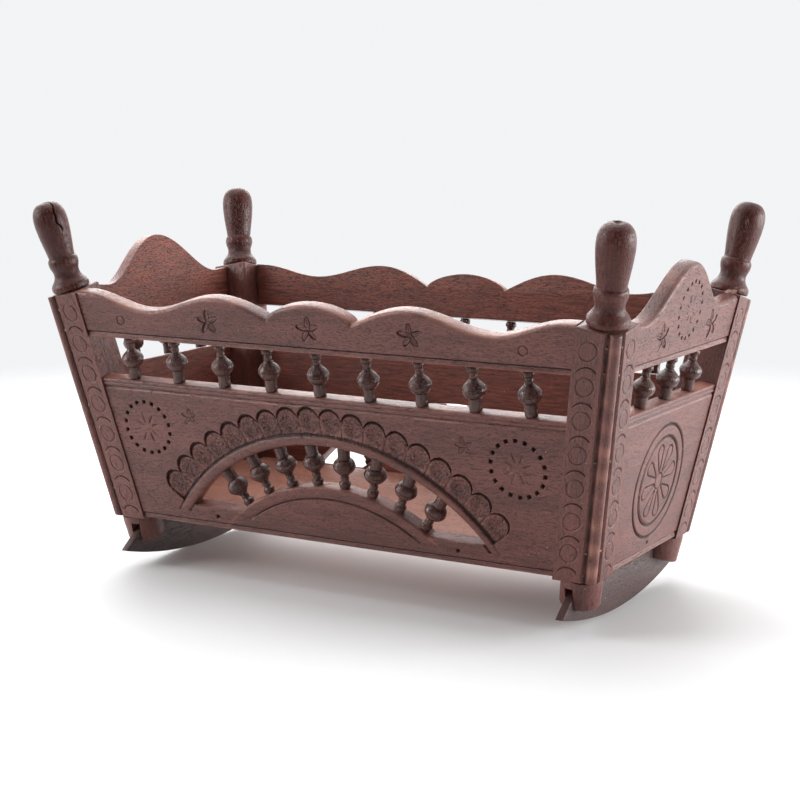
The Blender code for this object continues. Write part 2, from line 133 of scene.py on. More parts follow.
BAND_OUTER = 0.1409          # raised band over the arched opening
BAND_TIP = 0.0105            # its two ends run down to this height
SHELL_TOP = 0.1602           # the row of scooped shells outside it
SHELL_SHIFT = -0.0013        # they are set out from a point a little to the left
SHELLS = 18
SHELL_STEP = math.radians(5.82)
SHELL_MIDDLE = math.radians(89.65)
SHELL_RADIUS = 0.0076
SHELL_LIP = 0.0020           # thickness of the crescent cut behind a shell
SHELL_CUT = 0.0020           # depth of that crescent
SHELL_FLANK = 0.0022         # depth of the cut between two shells, and where they meet the band
LUNETTE_GROOVE = 0.0078

STRIP = 0.0174               # flat strip of a post, from its inner edge to the quirk
STRIP_QUIRK = 0.0022         # width of the quirk beside the corner bead
STRIP_QUIRK_DEPTH = 0.0019
CORNER_BEAD = 0.0032         # radius of the bead on the corner
RINGS = 7
RING_TOP = 0.1371            # height of the uppermost ring
RING_PITCH = 0.0199
RING_RADIUS = 0.0053
STRIP_MIDDLE = 0.0087
ARC_RADIUS = 0.0071
ARC_BELOW = 0.0160           # its centre, below the ring's
ARC_SPREAD = math.radians(62)
BRAD_HEIGHTS = (0.1389, 0.1251, 0.0752, 0.0196)
BRAD_DEPTH = 0.0014          # the heads sit this deep, at the bottom of the quirk
BRAD_SIDES = 14
BRAD_STATIONS = ((-0.0012, 0.0006), (0.0, 0.0006), (0.00005, 0.00100), (0.0003, 0.00095),
                 (0.0005, 0.00072), (0.00062, 0.0003))

PUNCHES = 18                 # square marks in a dotted circle
PUNCH_DEPTH = 0.0019
NAIL_RADIUS = 0.0009
NAIL_DEPTH = 0.0020
ROSETTE_HEIGHT = 0.0472      # middle of the big rosette of a short side
ROSETTE_HUB = 0.0052         # its petals stay outside this radius
ROSETTE_GROOVES = (          # radius, width, depth and painted shade with grime of its circles
    (0.0350, 0.0027, 0.0015, 1.0), (0.0275, 0.0027, 0.0015, 1.0),
    (0.0262, 0.0010, 0.0006, 0.5), (0.0050, 0.0012, 0.0010, 1.0))

DARK_DEPTH = 0.0009          # a cut this deep is darkened fully, with painted shade and grime
POST_EDGE = 0.0008           # rounding of a post's ends
ROCKER_EASE = 0.0006         # rounding of a rocker's edges
FLOOR_EASE = 0.0009          # rounding of the bottom board's edges
ROCKER_STEPS = 60
FOOT_SIDES = 64
SPINDLE_SIDES = 40           # a turned piece has this many points round it,
SPINDLE_STEPS = 70           # and this many along it
FINIAL_SIDES = 120
FINIAL_STEPS = 150
PATCH_HEIGHT = 0.1524        # broken place on the inner face of the back right post
PATCH_HALF_HEIGHT = 0.0023
PATCH_HALF_WIDTH = 0.0052
PATCH_FROM_END = 0.0085
PATCH_SLANT = 0.0011
PATCH_BULGE = 0.0009
PATCH_SUNK = 0.0004
CRACK_WIDTH = 0.0016         # of the crack in one finial
CRACK_DEPTH = 0.0016
CRACK = (math.radians(17), 0.66, 1.02)   # its direction, and where it starts and ends

SPLIT_WOOD = (0.50, 0.31, 0.25)          # colours that every stained wood shares
DUST = (0.62, 0.50, 0.46)
INNER_RED = ((0.102, 0.020, 0.011), (0.232, 0.056, 0.032))

FLOOR_REACH = 1.1            # radius of the studio floor, which fades out from the next radius
FADE_START = 0.40            # to the one after it
FADE_END = 1.05
FLOOR_CLEARANCE = 0.0002
SOFTBOXES = (                # name, place, size and power
    ("above", (-0.35, 0.05, 1.35), (1.4, 1.1), 11.0),
    ("left", (-1.35, -0.95, 0.65), (0.9, 0.9), 17.0),
    ("right", (1.30, 0.65, 0.26), (1.3, 0.42), 24.0),
    ("back", (-0.85, 1.10, 0.85), (1.4, 0.7), 12.0))

CAMERA_PLACE = (0.565119, -0.952646, 0.300036)
CAMERA_AZIMUTH = math.radians(-30.537)
CAMERA_ELEVATION = math.radians(9.591)
CAMERA_ROLL = math.radians(-0.138)
CAMERA_LENS = 78.755

random = np.random.default_rng(7)


# ----------------------------------------------------------------------------------- walls
class Wall:
    """One leaning side with its own axes."""

    def __init__(self, turn, reach, lean, half_base, end_lean):
        self.half_base = half_base
        self.end_lean = end_lean
        self.tilt = math.atan(lean)
        up = Vector((0, -math.sin(self.tilt), math.cos(self.tilt)))
        outward = Vector((0, -math.cos(self.tilt), -math.sin(self.tilt)))
        axes = Matrix((Vector((1, 0, 0)), up, outward)).transposed().to_4x4()
        axes.translation = Vector((0, -reach, BLOCK_Z))
        self.matrix = Matrix.Rotation(math.radians(turn), 4, "Z") @ axes

    def rise(self, height):
        """Distance up the slope for a height."""
        return height / math.cos(self.tilt)

    def half_span(self, rise):
        """Half the distance between the posts, over the face of a board."""
        height = rise * math.cos(self.tilt) + BOARD_INSET * math.sin(self.tilt)
        return self.half_base + self.end_lean * height - GAP


def make_walls():
    """The four sides; each turns the front one about Z."""
    side = (BASE_WIDTH / 2, SIDE_LEAN, BASE_LENGTH / 2 - POST_WIDTH, END_LEAN)
    end = (BASE_LENGTH / 2, END_LEAN, BASE_WIDTH / 2 - POST_WIDTH, SIDE_LEAN)
    return {"front": Wall(0, *side), "right": Wall(90, *end),
            "back": Wall(180, *side), "left": Wall(270, *end)}


# -------------------------------------------------------------------------- mesh and pieces
def new_mesh(name, points, faces, marks=None, matrix=None, grain="X", sharp=40):
    """A smooth-shaded mesh; marks are kept at its points, with their places along the grain."""
    local = np.array(points, float).reshape(-1, 3)
    order = {"X": (0, 1, 2), "Y": (1, 2, 0), "Z": (2, 0, 1)}[grain]
    place = local
    if matrix is not None:
        turn = np.array(matrix)
        place = local @ turn[:3, :3].T + turn[:3, 3]
    mesh = bpy.data.meshes.new(name)
    mesh.from_pydata(place.tolist(), [], faces)
    layer = mesh.attributes.new("grain", "FLOAT_VECTOR", "POINT")
    layer.data.foreach_set("vector", local[:, order].astype(np.float32).ravel())
    for key in ("recess", "wear"):
        values = (marks or {}).get(key)
        values = np.zeros(len(local)) if values is None else values
        layer = mesh.attributes.new(key, "FLOAT", "POINT")
        layer.data.foreach_set("value", np.asarray(values, np.float32))
    mesh.shade_smooth()
    mesh.set_sharp_from_angle(angle=math.radians(sharp))
    mesh.update()
    return mesh


def mesh_parts(mesh):
    """Points and faces of a mesh that was built another way."""
    points = [tuple(vert.co) for vert in mesh.vertices]
    faces = [list(face.vertices) for face in mesh.polygons]
    return points, faces


def place_object(name, data):
    """Put an object with some data into the scene."""
    thing = bpy.data.objects.new(name, data)
    bpy.context.scene.collection.objects.link(thing)
    return thing


def add_piece(mesh, material, slot, *nodes):
    """Put a mesh into the scene in place of some nodes of the frame."""
    piece = place_object(mesh.name, mesh)
    mesh.materials.append(material)
    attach(piece, "root")
    if nodes:
        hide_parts(*nodes)


def grid_faces(columns, rows):
    """Quads between neighbouring points of a grid, stored column by column."""
    index = np.arange(columns * rows).reshape(columns, rows)
    corners = (index[:-1, :-1], index[1:, :-1], index[1:, 1:], index[:-1, 1:])
    return np.stack(corners, axis=-1).reshape(-1, 4)


def tube_faces(rows, around):
    """Quads between rings of points stored one after another, and a cap at each end."""
    index = np.arange(rows * around).reshape(rows, around)
    wrapped = np.roll(index, -1, axis=1)
    sides = np.stack((index[:-1], wrapped[:-1], wrapped[1:], index[1:]), axis=-1)
    return sides.reshape(-1, 4).tolist() + [index[0, ::-1].tolist(), index[-1].tolist()]


def open_edges(faces):
    """Closed loops of points along the open edges of some faces."""
    following = {}
    seen = set()
    for face in faces:
        for a, b in zip(face, face[1:] + face[:1]):
            seen.add((a, b))
    for a, b in seen:
        if (b, a) not in seen:
            following[a] = b
    loops = []
    while following:
        first, point = following.popitem()
        loop = [first]
        while point != first:
            loop.append(point)
            point = following.pop(point)
        loops.append(loop)
    return loops


def inset_directions(flat):
    """For each point of a loop, the way into the material that lies to its left."""
    ahead = np.roll(flat, -1, axis=0) - flat
    ahead /= np.maximum(np.linalg.norm(ahead, axis=1, keepdims=True), 1e-9)
    behind = np.roll(ahead, 1, axis=0)
    normals = np.stack((-ahead[:, 1] - behind[:, 1], ahead[:, 0] + behind[:, 0]), axis=1)
    return normals / np.maximum(np.sum(normals * normals, axis=1, keepdims=True) / 2, 0.6)


# --------------------------------------------------------------------------------- carving
def notch(distance, width, depth):
    """A cut with soft shoulders, by distance from its middle line."""
    share = np.clip(1 - np.abs(distance) / (width / 2), 0, 1)
    return depth * share * share * (3 - 2 * share)


def rounding(distance, radius):
    """How far a rounded edge falls away, by distance in from the edge."""
    inside = np.clip(radius - distance, 0, radius)
    return radius - np.sqrt(np.maximum(radius * radius - inside * inside, 0))


def bead(distance, width, drop):
    """A rounded strip, by distance in from one of its sides."""
    share = np.clip(np.abs(distance - width / 2) / (width / 2), 0, 1)
    return np.where(np.abs(distance - width / 2) < width / 2,
                    drop * (1 - np.sqrt(1 - share * share)), 0)


class Carving:
    """Depth, painted shade with grime, and wear with painted highlights over the outer face of a
    board.
    """

    def __init__(self, x, s):
        self.x = x
        self.s = s
        self.depth = np.zeros_like(x)
        self.recess = np.zeros_like(x)
        self.wear = np.zeros_like(x)

    def shape(self, fall):
        """Round or lower the surface without darkening it."""
        self.depth = np.maximum(self.depth, fall)

    def cut(self, depth, shade_and_grime=1.0):
        """A chisel cut, darkened by its depth: painted shade in the cut, with grime."""
        self.depth = np.maximum(self.depth, depth)
        self.recess = np.maximum(self.recess, shade_and_grime * np.clip(depth / DARK_DEPTH, 0, 1))

    def rub_and_highlight(self, distance, width, strength=1.0):
        """Lighter along an edge: wear, and on some edges a painted highlight."""
        self.wear = np.maximum(self.wear, strength * np.clip(1 - distance / width, 0, 1))

    def near(self, x, s, reach):
        """Points within reach of a place, and where they are from it."""
        place = (np.abs(self.x - x) < reach) & (np.abs(self.s - s) < reach)
        return place, self.x[place] - x, self.s[place] - s

    def within(self, place, depth, shade_and_grime=1.0):
        """A cut into a few points only."""
        whole = np.zeros_like(self.x)
        whole[place] = depth
        self.cut(whole, shade_and_grime)


def along_arm(x, s, angle):
    """Places measured along a direction and across it."""
    return x * math.cos(angle) + s * math.sin(angle), -x * math.sin(angle) + s * math.cos(angle)


def ring(board, x, s, radius, width, depth, shade_and_grime):
    """An incised circle."""
    place, px, ps = board.near(x, s, radius + width)
    board.within(place, notch(np.hypot(px, ps) - radius, width, depth), shade_and_grime)


def leaf_cut(x, s, angle, start, length, width, depth):
    """A leaf-shaped chisel cut that runs outwards from near a centre."""
    along, across = along_arm(x, s, angle)
    share = np.clip((along - start) / length, 0, 1)
    half = np.maximum(width / 2 * np.sin(math.pi * share) ** 0.7, 1e-6)
    fill = np.clip(1 - np.abs(across) / half, 0, 1)
    inside = (along > start) & (along < start + length)
    return np.where(inside, depth * fill, 0)


def star(board, x, s, size, turn, depth, shade_and_grime=1.0):
    """A five-pointed star of broad arms outlined by cuts, one side of each arm cut deeper."""
    place, px, ps = board.near(x, s, size * 1.1)
    for arm in range(5):
        angle = math.radians(turn + 72 * arm + random.uniform(-6, 6))
        length = size * random.uniform(0.88, 1.02)
        strength = depth * random.uniform(0.7, 1.0)
        width = size * random.uniform(0.30, 0.38)
        side = random.choice((-1, 1))
        along, across = along_arm(px, ps, angle)
        across = across * side
        share = np.clip(along / length, 0, 1)
        half = np.maximum(width * (1 - share) ** 0.6 * (0.45 + 1.1 * share), 1e-6)
        steep = np.where(across > 0, half - across, (half + across) * 0.55)
        inside = (along > -size * 0.08) & (along < length) & (np.abs(across) < half)
        chip = np.where(inside, 0.6 * strength * np.clip(steep / (half * 0.8), 0, 1), 0)
        near = notch(across - half * 0.80, 0.0011, strength)
        far = notch(across + half * 0.80, 0.0009, 0.6 * strength)
        outline = np.where((along > 0) & (along < length), np.maximum(near, far), 0)
        board.within(place, chip, 0.20 * shade_and_grime)
        board.within(place, outline, shade_and_grime)


def dot_circle(board, x, s, radius, size):
    """A circle of small square punch marks round a faint rosette of eight leaves."""
    place, px, ps = board.near(x, s, radius + 2 * size)
    step = 2 * math.pi / PUNCHES
    offset = (np.mod(np.arctan2(ps, px), step) - step / 2) * radius
    edge = np.maximum(np.abs(np.hypot(px, ps) - radius) * 1.05, np.abs(offset))
    board.within(place, PUNCH_DEPTH * np.clip((size - edge) / (size * 0.30), 0, 1))
    place, px, ps = board.near(x, s, radius)
    for leaf in range(8):
        angle = math.radians(45 * leaf + 20 + random.uniform(-6, 6))
        start = radius * random.uniform(0.17, 0.24)
        length = radius * random.uniform(0.30, 0.38)
        strength = random.uniform(0.0004, 0.0008)
        board.within(place, leaf_cut(px, ps, angle, start, length, 0.0022, strength), 0.7)


def nail_hole(board, x, s):
    """A small round hole where a nail was set."""
    place, px, ps = board.near(x, s, 2 * NAIL_RADIUS)
    board.within(place, NAIL_DEPTH * np.clip(1.6 - np.hypot(px, ps) / NAIL_RADIUS, 0, 1))


def nosing(board, radius):
    """The rounded top edge of a board, a hollow, a small bead and the quirk below them."""
    board.shape(rounding(board.from_top, radius))
    board.shape(notch(board.from_top - HOLLOW, 0.0014, 0.0006))
    board.shape(bead(board.from_top - HOLLOW, QUIRK - HOLLOW, 0.0004))
    below = board.from_top - QUIRK
    board.cut(notch(below, QUIRK_WIDTH, QUIRK_DEPTH), 0.6)
    board.shape(np.where(below > 0, QUIRK_DEPTH * np.clip(1 - below / QUIRK_SLOPE, 0, 1), 0))
    # Lighter along the rounded top edge and on the lip below the quirk: wear, with a painted sheen on
    # the top and a painted highlight on the lip.
    board.rub_and_highlight(board.from_top, 0.0020, 0.75)
    board.rub_and_highlight(np.abs(below - 0.0013), 0.0008, 0.9)


def foot_bead(board):
    """The hollow moulding along a lower edge, under a sharp step."""
    height = board.from_bottom
    share = np.clip(height / FOOT_BEAD, 0, 1)
    board.shape(np.where(height < FOOT_BEAD, FOOT_BEAD_DEPTH * share ** 1.6, 0))
    board.shape(rounding(height, 0.0004))
    board.cut(notch(height - FOOT_BEAD, QUIRK_WIDTH, FOOT_STEP_DEPTH), 0.95)
    # Lighter towards the bottom edge: a painted highlight from the floor's light, with wear.
    board.rub_and_highlight(height, 0.6 * FOOT_BEAD, 0.9)


# ------------------------------------------------------------------------- shapes of edges
def ease(share):
    """Go smoothly from 0 to 1."""
    return 0.5 - 0.5 * np.cos(math.pi * np.clip(share, 0, 1))


def scallop_height(distance, low, crest):
    """Top of a side rail at a distance from its middle."""
    lobe = np.maximum(np.cos(math.pi / 2 * np.clip(distance / CUSP_X, 0, 1)), 0)
    centre = RAIL_CUSP + (RAIL_CENTRE - RAIL_CUSP) * lobe ** CENTRE_LOBE_POWER
    climb = np.clip((CREST_X - distance) / (CREST_X - CUSP_X), 0, 1)
    outer = RAIL_CUSP + (crest - RAIL_CUSP) * np.cos(math.pi / 2 * climb)
    fall = low + (crest - low) * ease((LOW_X - distance) / (LOW_X - CREST_X))
    end = low + (RAIL_END - low) * ease((distance - LOW_X) / (SHOULDER_X - LOW_X))
    return np.select([distance <= CUSP_X, distance <= CREST_X, distance <= LOW_X],
                     [centre, outer, fall], end)


def hump_height(along):
    """Top of an end rail at a place along it."""
    reach = np.where(along < HUMP_MIDDLE, HUMP_REACH_LEFT, HUMP_REACH_RIGHT)
    distance = np.abs(along - HUMP_MIDDLE)
    bell = HUMP_LOW + (HUMP_TOP - HUMP_LOW) * ease(1 - distance / reach)
    level = HUMP_LOW + (RAIL_END - HUMP_LOW) * np.clip((distance - reach) / POST_WIDTH, 0, 1)
    return np.where(distance <= reach, bell, level)


def opening_depth(x, s):
    """How far inside the crescent opening a place is; negative in the wood."""
    radius = np.hypot(x, s + ARCH_DROP)
    return np.minimum(np.minimum(ARCH_RADIUS - radius, radius - LUNETTE_RADIUS), s - SILL_HEIGHT)


# ---------------------------------------------------------------------------- carved boards
def board_grid(wall, bottom, top_at, step):
    """Points over the outer face of a board, closer together along its two long edges."""
    low_s = wall.rise(bottom)
    half_top = wall.half_span(wall.rise(RAIL_END if bottom > 0.1 else bottom))
    columns = int(2 * half_top / step) | 1
    share = np.linspace(-1, 1, columns)
    top_s = wall.rise(top_at(share * half_top))
    low = np.arange(0, FOOT_ZONE, FINE_STEP)
    high = np.arange(0, NOSE_ZONE, FINE_STEP)
    start = low_s + low[-1] + FINE_STEP
    tallest = float(top_s.max()) - NOSE_ZONE - start
    count = max(int(tallest * 0.92 / step), 3)
    rows = [low_s + value + 0 * top_s for value in low]
    rows += [start + (top_s - NOSE_ZONE - start) * part for part in np.linspace(0, 1, count)[:-1]]
    rows += [top_s - value for value in high[::-1]]
    s = np.array(rows).T
    x = share[:, None] * wall.half_span(s)
    return x, s, top_s[:, None] + 0 * s, low_s


def snap_to_opening(x, s):
    """Move points beside the crescent opening onto its edge; say which side each is on."""
    depth = opening_depth(x, s)
    on = np.zeros(x.shape, bool)
    nudge = 1e-5
    for _ in range(6):
        pick = np.zeros(x.shape, bool)
        for a, b in (((slice(None, -1), slice(None)), (slice(1, None), slice(None))),
                     ((slice(None), slice(None, -1)), (slice(None), slice(1, None)))):
            crossing = (depth[a] * depth[b] < 0) & ~on[a] & ~on[b]
            nearer = np.abs(depth[a]) <= np.abs(depth[b])
            pick[a] |= crossing & nearer
            pick[b] |= crossing & ~nearer
        if not pick.any():
            break
        for _ in range(3):
            px, ps = x[pick], s[pick]
            value = opening_depth(px, ps)
            slope_x = (opening_depth(px + nudge, ps) - opening_depth(px - nudge, ps)) / (2 * nudge)
            slope_s = (opening_depth(px, ps + nudge) - opening_depth(px, ps - nudge)) / (2 * nudge)
            size = np.maximum(slope_x ** 2 + slope_s ** 2, 0.2)
            x[pick] = px - value * slope_x / size
            s[pick] = ps - value * slope_s / size
        on |= pick
        depth = np.where(on, 0, opening_depth(x, s))
    return np.where(on, 0, np.sign(depth)).astype(int)


def cut_out(faces, side):
    """Leave out the faces inside an opening; keep half of a face that straddles its edge."""
    kinds = side.ravel()[faces]
    kept = []
    whole = (kinds <= 0).all(axis=1) & (kinds < 0).any(axis=1)
    kept.extend(faces[whole].tolist())
    mixed = (kinds > 0).any(axis=1) & (kinds < 0).any(axis=1)
    for face, kind in zip(faces[mixed].tolist(), kinds[mixed].tolist()):
        for corner in range(4):
            if kind[corner] < 0 and kind[corner - 1] <= 0 and kind[(corner + 1) % 4] <= 0:
                kept.append([face[corner - 1], face[corner], face[(corner + 1) % 4]])
                break
    return kept


def close_board(points, faces, marks):
    """Give a carved face its rounded edges and a plain inner face, marked by -1 in its wear and
    highlight mark.
    """
    inner = -BOARD_INSET - BOARD_THICKNESS
    points = points.tolist()
    recess, wear = (list(marks[key]) for key in ("recess", "wear"))
    faces = [list(face) for face in faces]
    rims = []
    for loop in open_edges(faces):
        flat = np.array([points[index][:2] for index in loop])
        inwards = inset_directions(flat)
        previous = loop
        for turn in (0, 30, 60, 90):
            angle = math.radians(turn)
            offset = EDGE_RADIUS * (1 - math.cos(angle))
            depth = inner + EDGE_RADIUS * (1 - math.sin(angle))
            start = len(points)
            for place, way in zip(flat, inwards):
                points.append([place[0] + way[0] * offset, place[1] + way[1] * offset, depth])
                recess.append(0.0)
                wear.append(0.8 if turn < 90 else -1.0)
            current = list(range(start, start + len(loop)))
            for index in range(len(loop)):
                after = (index + 1) % len(loop)
                faces.append([previous[after], previous[index], current[index], current[after]])
            previous = current
        rims.append(previous)
    rims.sort(key=lambda rim: -max(points[index][0] for index in rim))
    outline = [[Vector(points[index]) for index in rim] for rim in rims]
    flat_index = [index for rim in rims for index in rim]
    for triangle in tessellate_polygon(outline):
        a, b, c = (flat_index[corner] for corner in triangle)
        (ax, ay), (bx, by), (cx, cy) = points[a][:2], points[b][:2], points[c][:2]
        turned_over = (bx - ax) * (cy - ay) - (by - ay) * (cx - ax) > 0
        faces.append([c, b, a] if turned_over else [a, b, c])
    return points, faces, {"recess": recess, "wear": wear}


def add_board(node, wall, bottom, top_at, carve, step, material, opening=False):
    """A board or rail whose outer face is carved, in place of its plain node."""
    x, s, top_s, low_s = board_grid(wall, bottom, top_at, step)
    faces = grid_faces(*x.shape)
    if opening:
        side = snap_to_opening(x, s)
    slope = np.gradient(top_s[:, 0], x[:, -1])[:, None]
    board = Carving(x, s)
    board.rise = wall.rise
    board.from_top = (top_s - s) / np.sqrt(1 + slope * slope)
    board.from_bottom = s - low_s
    carve(board)
    points = np.stack((x, s, -BOARD_INSET - board.depth), axis=-1).reshape(-1, 3)
    marks = {"recess": board.recess.ravel(), "wear": board.wear.ravel()}
    faces = cut_out(faces, side) if opening else faces.tolist()
    points, faces, marks = drop_loose(*close_board(points, faces, marks))
    mesh = new_mesh(f"{node}_carved", points, faces, marks, wall.matrix)
    add_piece(mesh, material, "stained_wood", node)


def drop_loose(points, faces, marks):
    """Leave out the points that no face uses."""
    used = sorted({index for face in faces for index in face})
    renumber = {old: new for new, old in enumerate(used)}
    faces = [[renumber[index] for index in face] for face in faces]
    marks = {key: [values[index] for index in used] for key, values in marks.items()}
    return [points[index] for index in used], faces, marks


def carve_shells(board):
    """The row of scooped shells outside the band."""
    x = board.x - SHELL_SHIFT
    radius = np.hypot(x, board.s + ARCH_DROP)
    angle = np.arctan2(board.s + ARCH_DROP, x)
    first = SHELL_MIDDLE - SHELL_STEP * SHELLS / 2
    place = (angle - first) / SHELL_STEP
    number = np.floor(place)
    inside = (number >= 0) & (number < SHELLS)
    across = (place - number - 0.5) * SHELL_STEP * radius
    up = radius - (SHELL_TOP - SHELL_RADIUS)
    outline = np.where(up > 0, np.hypot(across, up), np.abs(across)) - SHELL_RADIUS
    inner = np.hypot(across, up + SHELL_LIP) - SHELL_RADIUS
    crescent = inside & (up > -0.002) & (outline < 0) & (inner > -0.0002)
    # The crescent cut behind each shell is darkened with painted shade and grime.
    board.cut(np.where(crescent, SHELL_CUT * np.clip((inner + 0.0002) / 0.0009, 0, 1), 0), 0.80)

    body = inside & (outline < 0) & (radius > BAND_OUTER) & ~crescent
    share = np.clip((radius - BAND_OUTER) / (SHELL_TOP - BAND_OUTER), 0, 1)
    edge = np.clip(-np.maximum(inner, np.abs(across) - SHELL_RADIUS) / 0.0022, 0, 1)
    oval = np.hypot(across / 0.0050, (up + 0.0030) / 0.0078)
    scoop = 0.0005 + 0.0011 * (1 - share) + 0.0009 * np.clip(1.25 - oval, 0, 1) - 0.0005 * edge
    coarse = random.normal(0, 1, radius.shape)
    coarse = coarse + np.roll(coarse, 1, 0)
    rough = 0.33 * (coarse + np.roll(coarse, 1, 1))
    board.shape(np.where(body, np.maximum(scoop + 0.00024 * rough, 0), 0))
    # Painted shade over each shell: darker near the band, lighter outwards, mottled in its middle and
    # lighter again at its outline.
    shell_shade = np.clip(0.18 + 0.50 * (1 - share) ** 1.3 + 0.24 * rough * (oval < 1.15), 0, 0.95)
    shell_shade = shell_shade * (0.55 + 0.45 * np.clip(edge, 0, 1))
    board.recess = np.where(body, np.maximum(board.recess, shell_shade), board.recess)
    # Paler near each shell's outline: painted highlight on its lip, with wear.
    board.wear = np.where(body, np.maximum(board.wear, 0.60 * (1 - edge)), board.wear)

    flank = inside & (up < 0.0030) & (radius > BAND_OUTER)
    side = np.abs(across) - SHELL_STEP * radius / 2
    depth = SHELL_FLANK * np.clip((0.0030 - up) / 0.006, 0, 1)
    lower = np.clip(0.25 + 0.75 * (1 - share), 0, 1)
    board.cut(np.where(flank, notch(side, 0.0026, 1.0) * depth * lower, 0), 0.45)
    # A ragged cut where the shells meet the band, darkened with painted shade and grime.
    foot = inside & (radius > BAND_OUTER - 0.0002)
    ragged = 0.0017 + 0.0006 * rough
    board.cut(np.where(foot, notch(radius - BAND_OUTER - 0.0008, 2 * ragged, SHELL_FLANK), 0), 0.9)


def carve_band(board):
    """The raised band over the opening; its ends run down to points beside the sill."""
    radius = np.hypot(board.x, board.s + ARCH_DROP)
    outer = np.hypot(board.x - SHELL_SHIFT, board.s + ARCH_DROP) - BAND_OUTER
    width = radius - outer - ARCH_RADIUS
    above = board.s > BAND_TIP
    band = above & (radius > ARCH_RADIUS - 0.001) & (outer < 0)
    middle = np.clip(np.abs(radius - ARCH_RADIUS - width / 2) / (width / 2), 0, 1)
    board.shape(np.where(band, 0.0011 * (1 - np.sqrt(1 - middle * middle)), 0))
    board.wear = np.where(band, np.maximum(board.wear, 0.30), board.wear)
    taper = np.clip((board.s - BAND_TIP) / 0.012, 0.05, 1)
    low = above & (board.s < SILL_HEIGHT + 0.001)
    board.cut(np.where(low, notch(radius - ARCH_RADIUS, 0.0013, 0.0012 * taper), 0))
    tail = above & (board.s < SILL_HEIGHT + 0.020)
    board.cut(np.where(tail, notch(outer, 0.0014, 0.0014 * taper), 0))


def carve_lunette(board):
    """The half-round below the opening, with a bead along its edge."""
    radius = np.hypot(board.x, board.s + ARCH_DROP)
    rim = LUNETTE_RADIUS - LUNETTE_GROOVE
    above = board.s > BAND_TIP
    fade = np.clip((board.s - BAND_TIP) / 0.004, 0, 1)
    board.cut(np.where(above, notch(radius - rim, 0.0017, 0.0013) * fade, 0), 0.85)
    lip = above & (radius > rim) & (radius <= LUNETTE_RADIUS)
    board.shape(np.where(lip, bead(radius - rim, 1.6 * LUNETTE_GROOVE, 0.0011), 0))
    board.shape(np.where(radius < rim, 0.0004 * np.clip((rim - radius) / 0.002, 0, 1) * fade, 0))
    board.rub_and_highlight(np.abs(radius - LUNETTE_RADIUS), 0.0018, 0.7)


def carve_side_board(board):
    """Arch, shells, lunette, dotted circles and stars of a long side."""
    nosing(board, NOSE_RADIUS["side"])
    foot_bead(board)
    carve_shells(board)
    carve_band(board)
    carve_lunette(board)
    edge = np.where(board.s > SILL_HEIGHT - 0.003, -opening_depth(board.x, board.s), 1)
    board.shape(np.where(edge > -0.0001, rounding(np.maximum(edge, 0), 0.0011), 0))
    board.rub_and_highlight(np.maximum(edge, 0), 0.0014, 0.7)
    for side in (-1, 1):
        dot_circle(board, side * 0.1320 - 0.0008, 0.0660, 0.0173, 0.00125)
        star(board, side * 0.0977, 0.0765, 0.0062, 96, 0.0009, 0.8)
        star(board, side * 0.1370, 0.0173, 0.0050, 80, 0.0005, 0.5)
        nail_hole(board, side * 0.0870, 0.0094)
    for x, s, size, depth, shade_and_grime in ((-0.0390, 0.0170, 0.0050, 0.0006, 0.6),
                                    (-0.0030, 0.0195, 0.0060, 0.0008, 0.8),
                                    (0.0245, 0.0165, 0.0050, 0.0006, 0.6)):
        star(board, x, s, size, 90, depth, shade_and_grime)


def carve_side_rail(board):
    """Moulded edges, rings and stars of a scalloped rail."""
    board.shape(rounding(board.from_top, 0.0028))
    # The top edge is lightened: wear, with a painted highlight.
    board.rub_and_highlight(board.from_top, 0.0034, 1.0)
    foot_bead(board)
    for side in (-1, 1):
        ring(board, side * 0.1410, board.rise(0.1345), 0.0028, 0.0012, 0.0006, 0.7)
    for x, height in ((-0.0730, 0.1373), (0.0, 0.1375), (0.0695, 0.1382)):
        star(board, x, board.rise(height), 0.0084, 92, 0.0014)


def petal_distance(x, s, angle, start, length, narrow, wide):
    """Distance to the outline of a petal that widens away from the hub."""
    along, across = along_arm(x, s, angle)
    along = along - start
    across = np.abs(across)
    lean = (narrow - wide) / length
    side = math.sqrt(1 - lean * lean)
    reach = -lean * across + side * along
    near_hub = np.hypot(across, along) - narrow
    near_tip = np.hypot(across, along - length) - wide
    flank = side * across + lean * along - narrow
    return np.select([reach < 0, reach > side * length], [near_hub, near_tip], flank)


def carve_end_board(board):
    """The big rosette of a short side."""
    nosing(board, NOSE_RADIUS["end"])
    foot_bead(board)
    middle = board.rise(ROSETTE_HEIGHT)
    radius = np.hypot(board.x, board.s - middle)
    for groove, width, depth, shade_and_grime in ROSETTE_GROOVES:
        board.cut(notch(radius - groove, width, depth), shade_and_grime)
    for petal in range(8):
        angle = math.radians(13.3 + 45 * petal)
        outline = petal_distance(board.x, board.s - middle, angle, 0.0072, 0.0123, 0.0007, 0.0040)
        board.cut(np.where(radius > ROSETTE_HUB, notch(outline, 0.0014, 0.0011), 0))
    nail_hole(board, 0.0010, 0.0087)


def carve_end_rail(board):
    """Dotted circle and stars under the bell of a short side."""
    board.shape(rounding(board.from_top, 0.0030))
    # The top edge is lightened: wear, with a painted highlight.
    board.rub_and_highlight(board.from_top, 0.0030, 0.8)
    foot_bead(board)
    dot_circle(board, -0.0015, board.rise(0.1503), 0.0170, 0.0010)
    for side in (-1, 1):
        star(board, side * 0.0385, board.rise(0.1382), 0.0092, 98, 0.0014)


